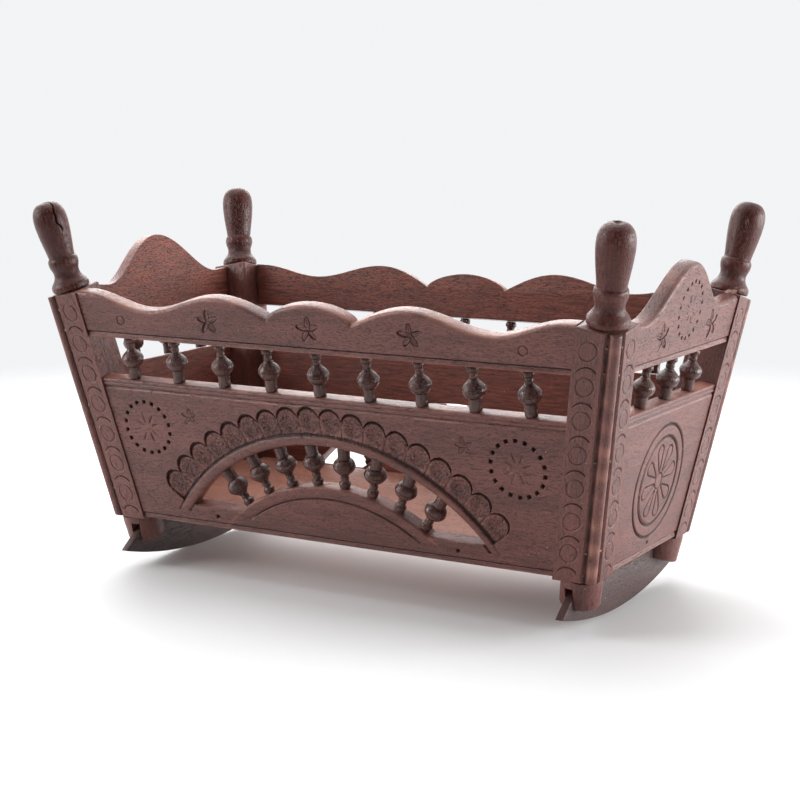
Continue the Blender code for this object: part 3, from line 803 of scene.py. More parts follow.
# ------------------------------------------------------------------------------------ posts
def post_outline():
    """Closed outline of a post: strip, quirk, corner bead, quirk, strip and two plain faces."""
    outer = POST_WIDTH - STRIP
    bead_side = 2 * CORNER_BEAD
    steps = int(STRIP / FINE_STEP)
    half = [(POST_WIDTH - STRIP * step / steps, 0.0) for step in range(steps + 1)]
    half += [(outer - 0.0005, 0.0005), (outer - 0.0011, STRIP_QUIRK_DEPTH * 0.8),
             (outer - 0.0015, STRIP_QUIRK_DEPTH), (bead_side + 0.0004, STRIP_QUIRK_DEPTH)]
    lowest = math.asin((CORNER_BEAD - STRIP_QUIRK_DEPTH) / CORNER_BEAD)
    for step in range(9):
        angle = lowest + (math.pi * 0.75 - lowest) * step / 9
        half.append((CORNER_BEAD + CORNER_BEAD * math.cos(angle),
                     CORNER_BEAD - CORNER_BEAD * math.sin(angle)))
    middle = CORNER_BEAD * (1 - math.sqrt(0.5))
    path = half + [(middle, middle)] + [(b, a) for a, b in reversed(half)]
    plain = [POST_WIDTH * share for share in (0.97, 0.75, 0.5, 0.25, 0.03)]
    path += [(POST_WIDTH - value, POST_WIDTH) for value in plain]
    path += [(POST_WIDTH, value) for value in plain]
    return np.array(path), len(half)


def strip_carving(strip, height):
    """Rings and arcs down the flat strip of a post; depth by place."""
    board = Carving(strip, height)
    for number in range(RINGS):
        middle = RING_TOP - RING_PITCH * number + random.uniform(-0.0003, 0.0003)
        across = STRIP_MIDDLE + random.uniform(-0.0002, 0.0002)
        ring(board, across, middle, RING_RADIUS, 0.0013, 0.00050, 0.50)
        rim = np.abs(np.hypot(strip - across, height - middle) - RING_RADIUS - 0.0009)
        board.rub_and_highlight(rim, 0.0007, 0.45)
        place, px, ps = board.near(across, middle - ARC_BELOW, 1.2 * ARC_RADIUS)
        spread = np.clip((ARC_SPREAD - np.abs(np.arctan2(px, ps))) / 0.25, 0, 1)
        arc = spread * notch(np.hypot(px, ps) - ARC_RADIUS, 0.0013, 0.0008)
        board.within(place, arc, 0.8)
    board.rub_and_highlight(board.x, 0.0012, 0.4)
    return board


def block_top(from_end, from_side):
    """Height of a post's top at a place given by its distances in from both faces."""
    fall = END_LEAN * (POST_WIDTH - from_end) + SIDE_LEAN * (POST_WIDTH - from_side)
    return POST_HEIGHT + INNER_CORNER_RISE - fall


def on_post(x_sign, y_sign, from_end, from_side, height):
    """A place on a post, given by its height and its distances in from both faces."""
    x = x_sign * (BASE_LENGTH / 2 + END_LEAN * height - from_end)
    y = y_sign * (BASE_WIDTH / 2 + SIDE_LEAN * height - from_side)
    return x, y, BLOCK_Z + height


def post_lean(x_sign, y_sign):
    """Turn Z into the direction of a post and its finial."""
    lean = Vector((x_sign * END_LEAN, y_sign * SIDE_LEAN, 1.0))
    return lean.to_track_quat("Z", "Y").to_matrix().to_4x4()


def post_mesh(name, x_sign, y_sign, axis):
    """The square block of a post with its carved strips and corner bead."""
    path, half = post_outline()
    a, b = path[:, 0], path[:, 1]
    nearer, further = np.minimum(a, b), np.maximum(a, b)
    levels = int(POST_HEIGHT / FINE_STEP)
    height = np.linspace(0, 1, levels)[:, None] * block_top(a, b)[None, :]
    depth_a, depth_b, recess, wear = (np.zeros_like(height) for _ in range(4))
    side_columns = np.arange(int(STRIP / FINE_STEP) + 1)
    end_columns = 2 * half - side_columns
    for columns, across, target in ((side_columns, a, depth_b), (end_columns, b, depth_a)):
        strip = POST_WIDTH - across[columns]
        board = strip_carving(strip[None, :] + 0 * height[:, columns], height[:, columns])
        target[:, columns] = board.depth
        recess[:, columns] = board.recess
        wear[:, columns] = board.wear
    quirk = (nearer > 0.0006) & (nearer < CORNER_BEAD) & (further > 2 * CORNER_BEAD - 0.0004)
    quirk &= further < POST_WIDTH - STRIP + 0.0001
    patchy = 0.5 + 0.5 * np.sin(height[:, :1] * 420 + random.uniform(0, 6))
    # The quirk beside the corner bead is darkened, patchily down its length: painted shade with grime.
    recess[:, quirk] = 0.45 + 0.35 * patchy
    wear[:, further < 1.9 * CORNER_BEAD] = 0.15 + (0.65 * (1 - patchy) if x_sign > 0 else 0.0)
    wear[:, (further > POST_WIDTH - 1e-6) & (nearer > 0.002)] = -1.0
    fall = rounding(np.minimum(height, block_top(a, b)[None, :] - height), POST_EDGE)
    middle = POST_WIDTH / 2
    shrink = 1 - fall / middle
    from_end = middle + (a[None, :] + depth_a - middle) * shrink
    from_side = middle + (b[None, :] + depth_b - middle) * shrink
    wear = np.maximum(wear, np.clip(fall / POST_EDGE, 0, 1) * 0.8)
    x, y, z = on_post(x_sign, y_sign, from_end, from_side, height)
    inverse = np.array(axis.inverted())
    points = np.stack((x, y, z), axis=-1).reshape(-1, 3) @ inverse[:3, :3].T + inverse[:3, 3]
    faces = tube_faces(*height.shape)
    if x_sign * y_sign > 0:
        faces = [face[::-1] for face in faces]
    marks = {"recess": recess.ravel(), "wear": wear.ravel()}
    return new_mesh(name, points, faces, marks, axis, "Z")


def foot_mesh(name, x_sign, axis):
    """The turned foot of a post, slotted over its rocker."""
    stations = np.array(FOOT_STATIONS)
    points, faces = turned(np.repeat(stations[:, 1:], FOOT_SIDES, axis=1), stations[:, 0])
    mesh = bpy.data.meshes.new("uncut_foot")
    mesh.from_pydata(points, [], faces)
    foot = place_object("uncut_foot", mesh)
    foot.matrix_world = axis
    depth = 2 * FOOT_LENGTH
    slot = Matrix.Translation((x_sign * ROCKER_X, 0, BLOCK_Z + SLOT_TOP - depth / 2))
    slot @= Matrix.Diagonal((ROCKER_THICKNESS + 2 * GAP, BASE_WIDTH, depth, 1))
    shape = bmesh.new()
    bmesh.ops.create_cube(shape, size=1.0, matrix=slot)
    cutter = place_object("slot", bpy.data.meshes.new("slot"))
    shape.to_mesh(cutter.data)
    shape.free()
    step = foot.modifiers.new("Slot", "BOOLEAN")
    step.object = cutter
    step.operation = "DIFFERENCE"
    step.solver = "EXACT"
    bpy.context.view_layer.update()
    cut = bpy.data.meshes.new_from_object(foot.evaluated_get(bpy.context.evaluated_depsgraph_get()))
    for thing in (foot, cutter):
        bpy.data.objects.remove(thing)
    points, faces = mesh_parts(cut)
    height = np.array(points)[:, 2]
    wear = 0.6 * np.clip((-height - FOOT_LENGTH + 0.002) / 0.002, 0, 1)
    return new_mesh(name, points, faces, {"wear": wear}, axis, "Z")


# ----------------------------------------------------------------------------- turned work
def turned(radius, heights):
    """Points and faces of a capped body turned about Z, with a row of radii for each height."""
    angles = 2 * math.pi * np.arange(radius.shape[1]) / radius.shape[1]
    z = np.asarray(heights)[:, None] + 0 * radius
    points = np.stack((radius * np.cos(angles), radius * np.sin(angles), z), axis=-1)
    return points.reshape(-1, 3).tolist(), tube_faces(*radius.shape)


def smooth_profile(stations, steps):
    """A smooth curve through (share, radius) stations; a doubled station is a sharp corner."""
    runs = [[stations[0]]]
    for before, station in zip(stations, stations[1:]):
        if station == before:
            runs.append([station])
        else:
            runs[-1].append(station)
    shares, radii = [], []
    for run in runs:
        knots = np.array(run)
        chord = np.maximum(np.hypot(np.diff(knots[:, 0]) * 0.03, np.diff(knots[:, 1])), 1e-6)
        place = np.concatenate(([0], np.cumsum(chord)))
        straight = len(run) == 2
        tangent = None if straight else np.gradient(knots, place, axis=0)
        count = max(int(steps * (knots[-1, 0] - knots[0, 0])), 2 * len(run))
        for value in np.linspace(0, place[-1], count):
            part = min(np.searchsorted(place, value, side="right") - 1, len(run) - 2)
            width = place[part + 1] - place[part]
            t = (value - place[part]) / width
            if straight:
                point = knots[0] + (knots[1] - knots[0]) * t
            else:
                point = ((2 * t ** 3 - 3 * t ** 2 + 1) * knots[part]
                         + (t ** 3 - 2 * t ** 2 + t) * width * tangent[part]
                         + (3 * t ** 2 - 2 * t ** 3) * knots[part + 1]
                         + (t ** 3 - t ** 2) * width * tangent[part + 1])
            shares.append(float(point[0]))
            radii.append(float(point[1]))
    return shares, radii


FOOT_STATIONS = (
    (-FOOT_LENGTH, FOOT_RADIUS - 0.0014), (-FOOT_LENGTH + 0.0004, FOOT_RADIUS - 0.0006),
    (-FOOT_LENGTH + 0.0012, FOOT_RADIUS - 0.0002), (-FOOT_LENGTH * 0.5, FOOT_RADIUS - 0.0001),
    (-0.0010, FOOT_RADIUS + 0.0001), (0.0, FOOT_RADIUS), (FOOT_EMBED, FOOT_RADIUS - 0.0002),
)

SPINDLE_STATIONS = (
    (0.00, 0.00375), (0.02, 0.00385), (0.14, 0.00378), (0.270, 0.00385), (0.270, 0.00385),
    (0.278, 0.00355), (0.278, 0.00355), (0.290, 0.00440), (0.320, 0.00545), (0.365, 0.00625),
    (0.410, 0.00670), (0.440, 0.00688), (0.440, 0.00688), (0.447, 0.00672), (0.447, 0.00672),
    (0.455, 0.00695), (0.490, 0.00690), (0.530, 0.00650), (0.580, 0.00560), (0.625, 0.00440),
    (0.665, 0.00330), (0.700, 0.00265), (0.700, 0.00265), (0.712, 0.00232), (0.712, 0.00232),
    (0.740, 0.00262), (0.785, 0.00258), (0.820, 0.00245), (0.855, 0.00275), (0.875, 0.00315),
    (0.875, 0.00315), (0.885, 0.00350), (0.930, 0.00362), (0.968, 0.00345), (0.968, 0.00345),
    (0.975, 0.00305), (1.0, 0.00325),
)

FINIAL_STATIONS = (
    (0.000, 0.01130), (0.010, 0.01195), (0.035, 0.01212), (0.060, 0.01200),
    (0.060, 0.01200), (0.080, 0.01140), (0.105, 0.01030), (0.136, 0.00905), (0.165, 0.00835),
    (0.195, 0.00815), (0.225, 0.00840), (0.255, 0.00900), (0.285, 0.00948), (0.318, 0.00962),
    (0.345, 0.00945), (0.364, 0.00900), (0.374, 0.00845), (0.374, 0.00845), (0.382, 0.00835),
    (0.382, 0.00835), (0.420, 0.00858), (0.508, 0.00930), (0.600, 0.01000), (0.680, 0.01048),
    (0.765, 0.01078), (0.830, 0.01065), (0.880, 0.01020), (0.920, 0.00940), (0.955, 0.00815),
    (0.980, 0.00660), (0.994, 0.00490), (1.000, 0.00340), (0.999, 0.00250), (0.999, 0.00250),
    (0.991, 0.00175), (0.985, 0.00085), (0.984, 0.00012),
)


def turned_mesh(name, stations, length, sides, steps, start, matrix, crack=None):
    """A turned piece along Z, placed by a matrix; its grooves get painted shade with grime and its
    crests are worn.
    """
    shares, radii = smooth_profile(stations, steps)
    share = np.array(shares)
    radius = np.array(radii)
    angles = 2 * math.pi * np.arange(sides) / sides
    window = max(int(len(radius) * 0.05), 3)
    padded = np.pad(radius, window, mode="edge")
    average = np.convolve(padded, np.ones(2 * window + 1) / (2 * window + 1), "valid")
    wobble = 1 + 0.004 * np.sin(angles[None, :] * 2 + random.uniform(0, 6))
    grid = radius[:, None] * wobble
    recess = np.clip((average - radius)[:, None] / DARK_DEPTH, 0, 1) + 0 * grid
    wear = np.clip((radius - average)[:, None] / DARK_DEPTH, 0, 0.7) + 0 * grid
    if crack:
        cut = crack_depth(share[:, None], angles[None, :], grid, *crack)
        grid = grid - cut
        # The crack is darkened by its depth: painted shade.
        recess = np.maximum(recess, np.clip(cut / 0.0006, 0, 1))
    points, faces = turned(grid, start + share * length)
    marks = {"recess": recess.ravel(), "wear": wear.ravel()}
    return new_mesh(name, points, faces, marks, matrix, "Z", 35)


def crack_depth(share, angle, radius, direction, low, high):
    """A crooked crack down one side of a turned piece, between two shares of its length."""
    spread = np.clip((share - low) / 0.05, 0, 1) * np.clip((high - share) / 0.05, 0, 1)
    bend = direction + 0.09 * np.sin(share * 21) + 0.05 * np.sin(share * 47)
    offset = np.abs((angle - bend + math.pi) % (2 * math.pi) - math.pi) * radius
    return spread * notch(offset, CRACK_WIDTH, CRACK_DEPTH)


def socket_matrix(wall, along, rise):
    """The foot of a baluster that stands on a board's edge."""
    spot = Matrix.Translation((along, rise, BOARD_MIDDLE))
    return wall.matrix @ spot @ Matrix.Rotation(-math.pi / 2, 4, "X")


def arch_matrix(wall, angle, radius):
    """A frame on the arch that points towards its centre."""
    centre = Matrix.Translation((0, -ARCH_DROP, BOARD_MIDDLE))
    turn = Matrix.Rotation(angle, 4, "Z")
    out = Matrix.Translation((radius, 0, 0))
    return wall.matrix @ centre @ turn @ out @ Matrix.Rotation(-math.pi / 2, 4, "Y")


def finial_matrix(x_sign, y_sign):
    """The seat of a finial on its post."""
    height = block_top(FINIAL_INSET, FINIAL_INSET)
    seat = on_post(x_sign, y_sign, FINIAL_INSET, FINIAL_INSET, height)
    return Matrix.Translation(seat) @ post_lean(x_sign, y_sign)


def spaced(count, pitch):
    """Positions of evenly spaced pieces about the middle."""
    return [pitch * (index - (count - 1) / 2) for index in range(count)]


def add_spindle(node, matrix, length, material):
    """One baluster, turned a little differently from the next."""
    scale = random.uniform(0.975, 1.0)
    shift = random.uniform(-0.008, 0.008)
    stations = [(share + shift * math.sin(math.pi * share), radius * scale)
                for share, radius in SPINDLE_STATIONS]
    spin = Matrix.Rotation(random.uniform(0, 6.28), 4, "Z")
    mesh = turned_mesh(f"{node}_turned", stations, length - 2 * SEAT, SPINDLE_SIDES, SPINDLE_STEPS,
                       SEAT, matrix @ spin)
    add_piece(mesh, material, "dark_turned_wood", node)


def add_spindles(row, matrices, length, material):
    """A row of balusters."""
    for number, matrix in enumerate(matrices, start=1):
        add_spindle(f"{row}_{number}", matrix, length, material)


# ------------------------------------------------------------------------------- materials
class Nodes:
    """Short calls for building a node tree."""

    def __init__(self, tree):
        self.tree = tree

    def put(self, kind, inputs=None, **settings):
        """A new node with its settings; its inputs are values or other nodes' outputs."""
        node = self.tree.nodes.new(kind)
        for key, value in settings.items():
            setattr(node, key, value)
        self.feed(node, inputs or {})
        return node

    def feed(self, node, inputs):
        """Set or connect some inputs of a node."""
        for key, value in inputs.items():
            if isinstance(value, bpy.types.NodeSocket):
                self.tree.links.new(value, node.inputs[key])
            elif isinstance(value, tuple) and len(node.inputs[key].default_value) > len(value):
                node.inputs[key].default_value = (*value, 1.0)
            else:
                node.inputs[key].default_value = value

    def noise(self, vector, scale, detail, rough, distortion=0.0, shift=0.0):
        inputs = {"Vector": vector, "Scale": scale, "Detail": detail, "Roughness": rough,
                  "Distortion": distortion, "W": shift}
        return self.put("ShaderNodeTexNoise", inputs, noise_dimensions="4D").outputs["Fac"]

    def stretch(self, vector, across):
        inputs = {"Vector": vector, "Scale": (1, across, across)}
        return self.put("ShaderNodeMapping", inputs).outputs["Vector"]

    def remap(self, value, low, high, to_low=0.0, to_high=1.0):
        inputs = {"Value": value, "From Min": low, "From Max": high,
                  "To Min": to_low, "To Max": to_high}
        return self.put("ShaderNodeMapRange", inputs,
                        interpolation_type="SMOOTHSTEP").outputs["Result"]

    def math(self, operation, first, second):
        return self.put("ShaderNodeMath", {0: first, 1: second}, operation=operation).outputs["Value"]

    def mix(self, factor, first, second):
        return self.put("ShaderNodeMix", {0: factor, 6: first, 7: second}, data_type="RGBA").outputs[2]


def new_material(name):
    """A material, and short calls for the nodes that feed its shader."""
    material = bpy.data.materials.new(name)
    material.use_nodes = True
    n = Nodes(material.node_tree)
    return material, n, n.tree.nodes["Principled BSDF"]


def attribute(n, name, output="Fac"):
    """What a mesh keeps at its points."""
    return n.put("ShaderNodeAttribute", attribute_name=name).outputs[output]


def stained_wood(name, dark, middle, light, raw, gloss=0.44, dust=1.0, shine=0.5):
    """Stained wood: streaked tones, open pores, worn edges with painted highlights, painted shade with
    grime in the cuts and a wax finish.
    """
    material, n, shader = new_material(name)
    place = attribute(n, "grain", "Vector")
    shift = n.math("MULTIPLY", n.put("ShaderNodeObjectInfo").outputs["Random"], 37.0)
    broad = n.noise(n.stretch(place, 7), 10.0, 5.0, 0.6, 0.5, shift)
    streak = n.noise(n.stretch(place, 12), 62.0, 4.0, 0.62, 0.2, shift)
    pore = n.noise(n.stretch(place, 5.5), 330.0, 2.0, 0.5, 0.0, shift)
    blotch = n.noise(place, 30.0, 5.0, 0.62, 0.3, shift)
    grit = n.noise(place, 1150.0, 3.0, 0.7, 0.0, shift)
    deep = tuple(0.30 * value for value in dark)
    # Colour of the painted shade with grime in cuts and hollows.
    shade_and_grime = tuple(0.16 * value for value in dark)
    pale = tuple(1.6 * value for value in light)

    colour = n.mix(n.remap(broad, 0.36, 0.64), dark, middle)
    colour = n.mix(n.remap(streak, 0.44, 0.74, 0.0, 0.60), colour, light)
    colour = n.mix(n.remap(blotch, 0.52, 0.78, 0.0, 0.40), colour, dark)
    pores = n.remap(pore, 0.545, 0.66)
    colour = n.mix(n.math("MULTIPLY", pores, 0.62), colour, deep)
    colour = n.mix(n.remap(grit, 0.48, 0.70, 0.0, 0.52), colour, deep)
    colour = n.mix(n.remap(grit, 0.46, 0.28, 0.0, 0.42), colour, pale)

    # Worn edges, and the painted highlights marked along some edges, turn paler.
    wear = attribute(n, "wear")
    patchy = n.math("MULTIPLY", wear, n.remap(blotch, 0.36, 0.60, 0.15, 1.0))
    worn_and_highlight_colour = n.mix(n.remap(broad, 0.42, 0.60), pale, raw)
    colour = n.mix(n.remap(patchy, 0.05, 1.1, 0.0, 0.62), colour, worn_and_highlight_colour)
    colour = n.mix(n.remap(wear, 1.2, 1.9), colour, SPLIT_WOOD)
    red = n.mix(n.remap(streak, 0.34, 0.66), *INNER_RED)
    red = n.mix(n.math("MULTIPLY", pores, 0.5), red, deep)
    colour = n.mix(n.remap(wear, -0.3, -0.9), colour, red)
    # Cuts and hollows darken by their mark: painted shade.
    recess = attribute(n, "recess")
    colour = n.mix(n.remap(recess, 0.1, 1.0, 0.0, 0.88), colour, shade_and_grime)

    specks = n.put("ShaderNodeTexVoronoi", {"Vector": place, "Scale": 240.0}, feature="F1")
    chance = n.put("ShaderNodeSeparateColor", {"Color": specks.outputs["Color"]})
    picked = n.remap(chance.outputs["Red"], 0.88, 0.92, 0.0, 0.55 * dust)
    small = n.remap(specks.outputs["Distance"], 0.05, 0.11, 1.0, 0.0)
    colour = n.mix(n.math("MULTIPLY", picked, small), colour, DUST)

    rough = n.remap(streak, 0.3, 0.8, gloss - 0.05, gloss + 0.09)
    height = n.math("MULTIPLY", pores, -1.0)
    for operation, mask, amount in (("ADD", pores, 0.10), ("ADD", recess, 0.25),
                                    ("SUBTRACT", wear, 0.12)):
        rough = n.math(operation, rough, n.math("MULTIPLY", mask, amount))
    for mask, amount in ((streak, 0.7), (grit, 0.6)):
        height = n.math("ADD", height, n.math("MULTIPLY", mask, amount))
    bump = n.put("ShaderNodeBump", {"Height": height, "Strength": 0.75, "Distance": 0.0004})
    n.feed(shader, {"Base Color": colour, "Roughness": rough, "Specular IOR Level": shine,
                    "Normal": bump.outputs["Normal"]})
    return material


def old_iron(name):
    """Dull iron of a small nail, with rust."""
    material, n, shader = new_material(name)
    rust = n.noise(attribute(n, "grain", "Vector"), 1400.0, 3.0, 0.6)
    n.feed(shader, {
        "Base Color": n.mix(n.remap(rust, 0.4, 0.65), (0.21, 0.17, 0.13), (0.07, 0.035, 0.02)),
        "Roughness": n.remap(rust, 0.4, 0.65, 0.35, 0.7),
        "Metallic": 0.85,
    })
    return material


def make_materials():
    """The woods of the boards, finials, balusters, bottom board and rockers, and iron."""
    board = dict(dark=(0.092, 0.027, 0.021), middle=(0.155, 0.048, 0.038),
                 light=(0.220, 0.072, 0.054), raw=(0.46, 0.215, 0.150))
    knob = dict(dark=(0.040, 0.008, 0.006), middle=(0.085, 0.019, 0.014),
                light=(0.150, 0.042, 0.032), raw=(0.24, 0.095, 0.072))
    spindle = dict(dark=(0.040, 0.011, 0.008), middle=(0.085, 0.027, 0.020),
                   light=(0.150, 0.056, 0.042), raw=(0.24, 0.105, 0.078))
    bottom = dict(dark=(0.275, 0.098, 0.062), middle=(0.390, 0.155, 0.104),
                  light=(0.495, 0.235, 0.165), raw=(0.55, 0.300, 0.218))
    rocker = dict(dark=(0.030, 0.010, 0.009), middle=(0.052, 0.019, 0.016),
                  light=(0.082, 0.033, 0.027), raw=(0.15, 0.068, 0.048))
    return {
        "board": stained_wood("carved_wood", **board),
        "knob": stained_wood("finial_wood", gloss=0.34, dust=0.2, shine=0.32, **knob),
        "spindle": stained_wood("spindle_wood", gloss=0.21, dust=0.2, shine=0.50, **spindle),
        "floor": stained_wood("bottom_board_wood", gloss=0.48, **bottom),
        "rocker": stained_wood("rocker_wood", gloss=0.46, **rocker),
        "iron": old_iron("brad_iron"),
    }


# --------------------------------------------------------------------------------- pieces
def make_sides(walls, woods):
    """Boards, rails and balusters of the long sides."""
    for name in ("front", "back"):
        wall = walls[name]
        low, crest = RAIL_LOW[name], RAIL_CREST[name]
        add_board(f"side_board_{name}", wall, BOARD_BOTTOM, lambda along: SIDE_BOARD_TOP + 0 * along,
                  carve_side_board, CARVING_STEP, woods["board"], opening=True)
        add_board(f"top_rail_{name}", wall, RAIL_BOTTOM,
                  lambda along: scallop_height(np.abs(along), low, crest),
                  carve_side_rail, RAIL_STEP, woods["board"])
        seat = wall.rise(SIDE_BOARD_TOP)
        places = [socket_matrix(wall, along, seat)
                  for along in spaced(SIDE_SPINDLES, SIDE_SPINDLE_PITCH)]
        add_spindles(f"rail_spindle_{name}", places, wall.rise(RAIL_BOTTOM) - seat, woods["spindle"])
        places = [arch_matrix(wall, math.pi / 2 + turn, ARCH_RADIUS)
                  for turn in spaced(ARCH_SPINDLES, ARCH_SPINDLE_STEP)]
        add_spindles(f"arch_spindle_{name}", places, ARCH_RADIUS - LUNETTE_RADIUS, woods["spindle"])


def make_ends(walls, woods):
    """Boards, rails and balusters of the short sides."""
    for name in ("left", "right"):
        wall = walls[name]
        add_board(f"end_board_{name}", wall, BOARD_BOTTOM, lambda along: END_BOARD_TOP + 0 * along,
                  carve_end_board, CARVING_STEP, woods["board"])
        add_board(f"end_rail_{name}", wall, RAIL_BOTTOM, hump_height,
                  carve_end_rail, RAIL_STEP, woods["board"])
        seat = wall.rise(END_BOARD_TOP)
        places = [socket_matrix(wall, HUMP_MIDDLE + along, seat)
                  for along in spaced(END_SPINDLES, END_SPINDLE_PITCH)]
        add_spindles(f"end_spindle_{name}", places, wall.rise(RAIL_BOTTOM) - seat, woods["spindle"])


def make_corners(woods):
    """Posts with their feet and finials."""
    for y_name, y_sign in (("front", -1), ("back", 1)):
        for x_name, x_sign in (("left", -1), ("right", 1)):
            name = f"{y_name}_{x_name}"
            middle = Matrix.Translation((x_sign * (BASE_LENGTH - POST_WIDTH) / 2,
                                         y_sign * (BASE_WIDTH - POST_WIDTH) / 2, BLOCK_Z))
            axis = middle @ post_lean(x_sign, y_sign)
            post = post_mesh(f"post_{name}_carved", x_sign, y_sign, axis)
            add_piece(post, woods["board"], "stained_wood", f"post_{name}")
            add_piece(foot_mesh(f"foot_{name}", x_sign, axis), woods["board"], "stained_wood")
            knob = turned_mesh(f"finial_{name}_turned", FINIAL_STATIONS, FINIAL_HEIGHT,
                               FINIAL_SIDES, FINIAL_STEPS, 2 * GAP, finial_matrix(x_sign, y_sign),
                               CRACK if name == "front_left" else None)
            add_piece(knob, woods["knob"], "turned_wood", f"finial_{name}")


def split_patch():
    """Raw splintered wood near the top of one post, where a sliver has broken away."""
    columns, rows = 40, 20
    x, z = np.meshgrid(np.linspace(-1, 1, columns), np.linspace(-1, 1, rows), indexing="ij")
    ragged = 0.75 + 0.12 * np.sin(7 * x + 1.3) + 0.08 * np.sin(17 * x) + 0.05 * np.sin(9 * z)
    inside = np.clip(ragged - np.hypot(x * 0.8, z), 0, 1)
    lumps = 0.5 + 0.5 * np.sin(23 * z + 4 * np.sin(3 * x)) * np.cos(6 * x)
    height = PATCH_HEIGHT + z * PATCH_HALF_HEIGHT - x * PATCH_SLANT
    from_end = PATCH_FROM_END + x * PATCH_HALF_WIDTH
    out = PATCH_BULGE * np.sqrt(inside) * (0.45 + 0.55 * lumps) - PATCH_SUNK
    place = on_post(1, 1, from_end, POST_WIDTH + out, height)
    points = np.stack(place, axis=-1).reshape(-1, 3)
    wear = np.where(inside > 0.02, 2.0, 0.6).ravel()
    # Darker in the low parts of the splinters: painted shade.
    recess = np.clip(0.5 - lumps, 0, 1).ravel() * 0.8
    return new_mesh("split_post_corner", points, grid_faces(columns, rows).tolist(),
                    {"wear": wear, "recess": recess})


def eased(solid, edges, offset):
    """Round some edges of a solid; return its points and faces."""
    bmesh.ops.bevel(solid, geom=edges, offset=offset, segments=3, profile=0.5, affect="EDGES")
    mesh = bpy.data.meshes.new("solid")
    solid.to_mesh(mesh)
    solid.free()
    return mesh_parts(mesh)


def rocker_mesh(name, x_sign):
    """A rocker board with eased edges."""
    span = math.asin(ROCKER_HALF_LENGTH / ROCKER_RADIUS)
    angles = [-span + 2 * span * step / ROCKER_STEPS for step in range(ROCKER_STEPS + 1)]
    outline = [(ROCKER_RADIUS * math.sin(angle), ROCKER_RADIUS - ROCKER_RADIUS * math.cos(angle))
               for angle in angles]
    upper = [(ROCKER_END_Y, ROCKER_END_HEIGHT),
             (ROCKER_END_Y - ROCKER_END_BEVEL, ROCKER_SLOT_HEIGHT),
             (ROCKER_SHOULDER_Y, ROCKER_SLOT_HEIGHT),
             (ROCKER_SHOULDER_Y, FLOOR_TOP - FLOOR_THICKNESS - GAP)]
    outline += [(y, BLOCK_Z + height) for y, height in upper]
    outline += [(-y, BLOCK_Z + height) for y, height in reversed(upper)]
    shape = bmesh.new()
    near, far = ([shape.verts.new((x_sign * ROCKER_X + side * ROCKER_THICKNESS / 2, y, z))
                  for y, z in outline] for side in (-1, 1))
    shape.faces.new(near)
    shape.faces.new(far[::-1])
    for a, b, c, d in zip(near, near[1:] + near[:1], far[1:] + far[:1], far):
        shape.faces.new((a, b, c, d))
    bmesh.ops.recalc_face_normals(shape, faces=shape.faces[:])
    rims = [edge for edge in shape.edges if abs(edge.verts[0].co.x - edge.verts[1].co.x) < 1e-6]
    points, faces = eased(shape, rims, ROCKER_EASE)
    from_side = ROCKER_THICKNESS / 2 - np.abs(np.abs(np.array(points)[:, 0]) - ROCKER_X)
    wear = np.where(from_side > 0.0001, 0.8, 0.1)
    return new_mesh(name, points, faces, {"wear": wear}, None, "Y", 35)


def floor_mesh():
    """The bottom board with eased edges, made from its solid in the frame."""
    shape = bmesh.new()
    shape.from_mesh(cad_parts["floor_board"].data)
    bmesh.ops.remove_doubles(shape, verts=shape.verts, dist=1e-6)
    bmesh.ops.dissolve_limit(shape, angle_limit=0.02, verts=shape.verts, edges=shape.edges)
    points, faces = eased(shape, shape.edges[:], FLOOR_EASE)
    return new_mesh("floor_board_eased", points, faces, None, None, "X", 30)


def make_base(woods):
    """Bottom board and rockers."""
    add_piece(floor_mesh(), woods["floor"], "floor_wood", "floor_board")
    for name, x_sign in (("left", -1), ("right", 1)):
        add_piece(rocker_mesh(f"rocker_{name}_eased", x_sign), woods["rocker"],
                  "stained_wood", f"rocker_{name}")


def make_brads(woods):
    """Small round-headed nails in the quirks beside the corner beads."""
    stations = np.array(BRAD_STATIONS)
    head, sides = turned(np.repeat(stations[:, 1:], BRAD_SIDES, axis=1), stations[:, 0])
    points, faces = [], []
    across = POST_WIDTH - STRIP - STRIP_QUIRK / 2
    for x_sign, y_sign, height in product((-1, 1), (-1, 1), BRAD_HEIGHTS):
        for out, inset in ((Vector((0, y_sign, 0)), (across, BRAD_DEPTH)),
                           (Vector((x_sign, 0, 0)), (BRAD_DEPTH, across))):
            place = height + random.uniform(-0.0015, 0.0015)
            spot = out.to_track_quat("Z", "Y").to_matrix().to_4x4()
            spot.translation = Vector(on_post(x_sign, y_sign, *inset, place))
            start = len(points)
            points += [spot @ Vector(point) for point in head]
            faces += [[start + index for index in face] for face in sides]
    add_piece(new_mesh("corner_brads", points, faces), woods["iron"], "stained_wood")


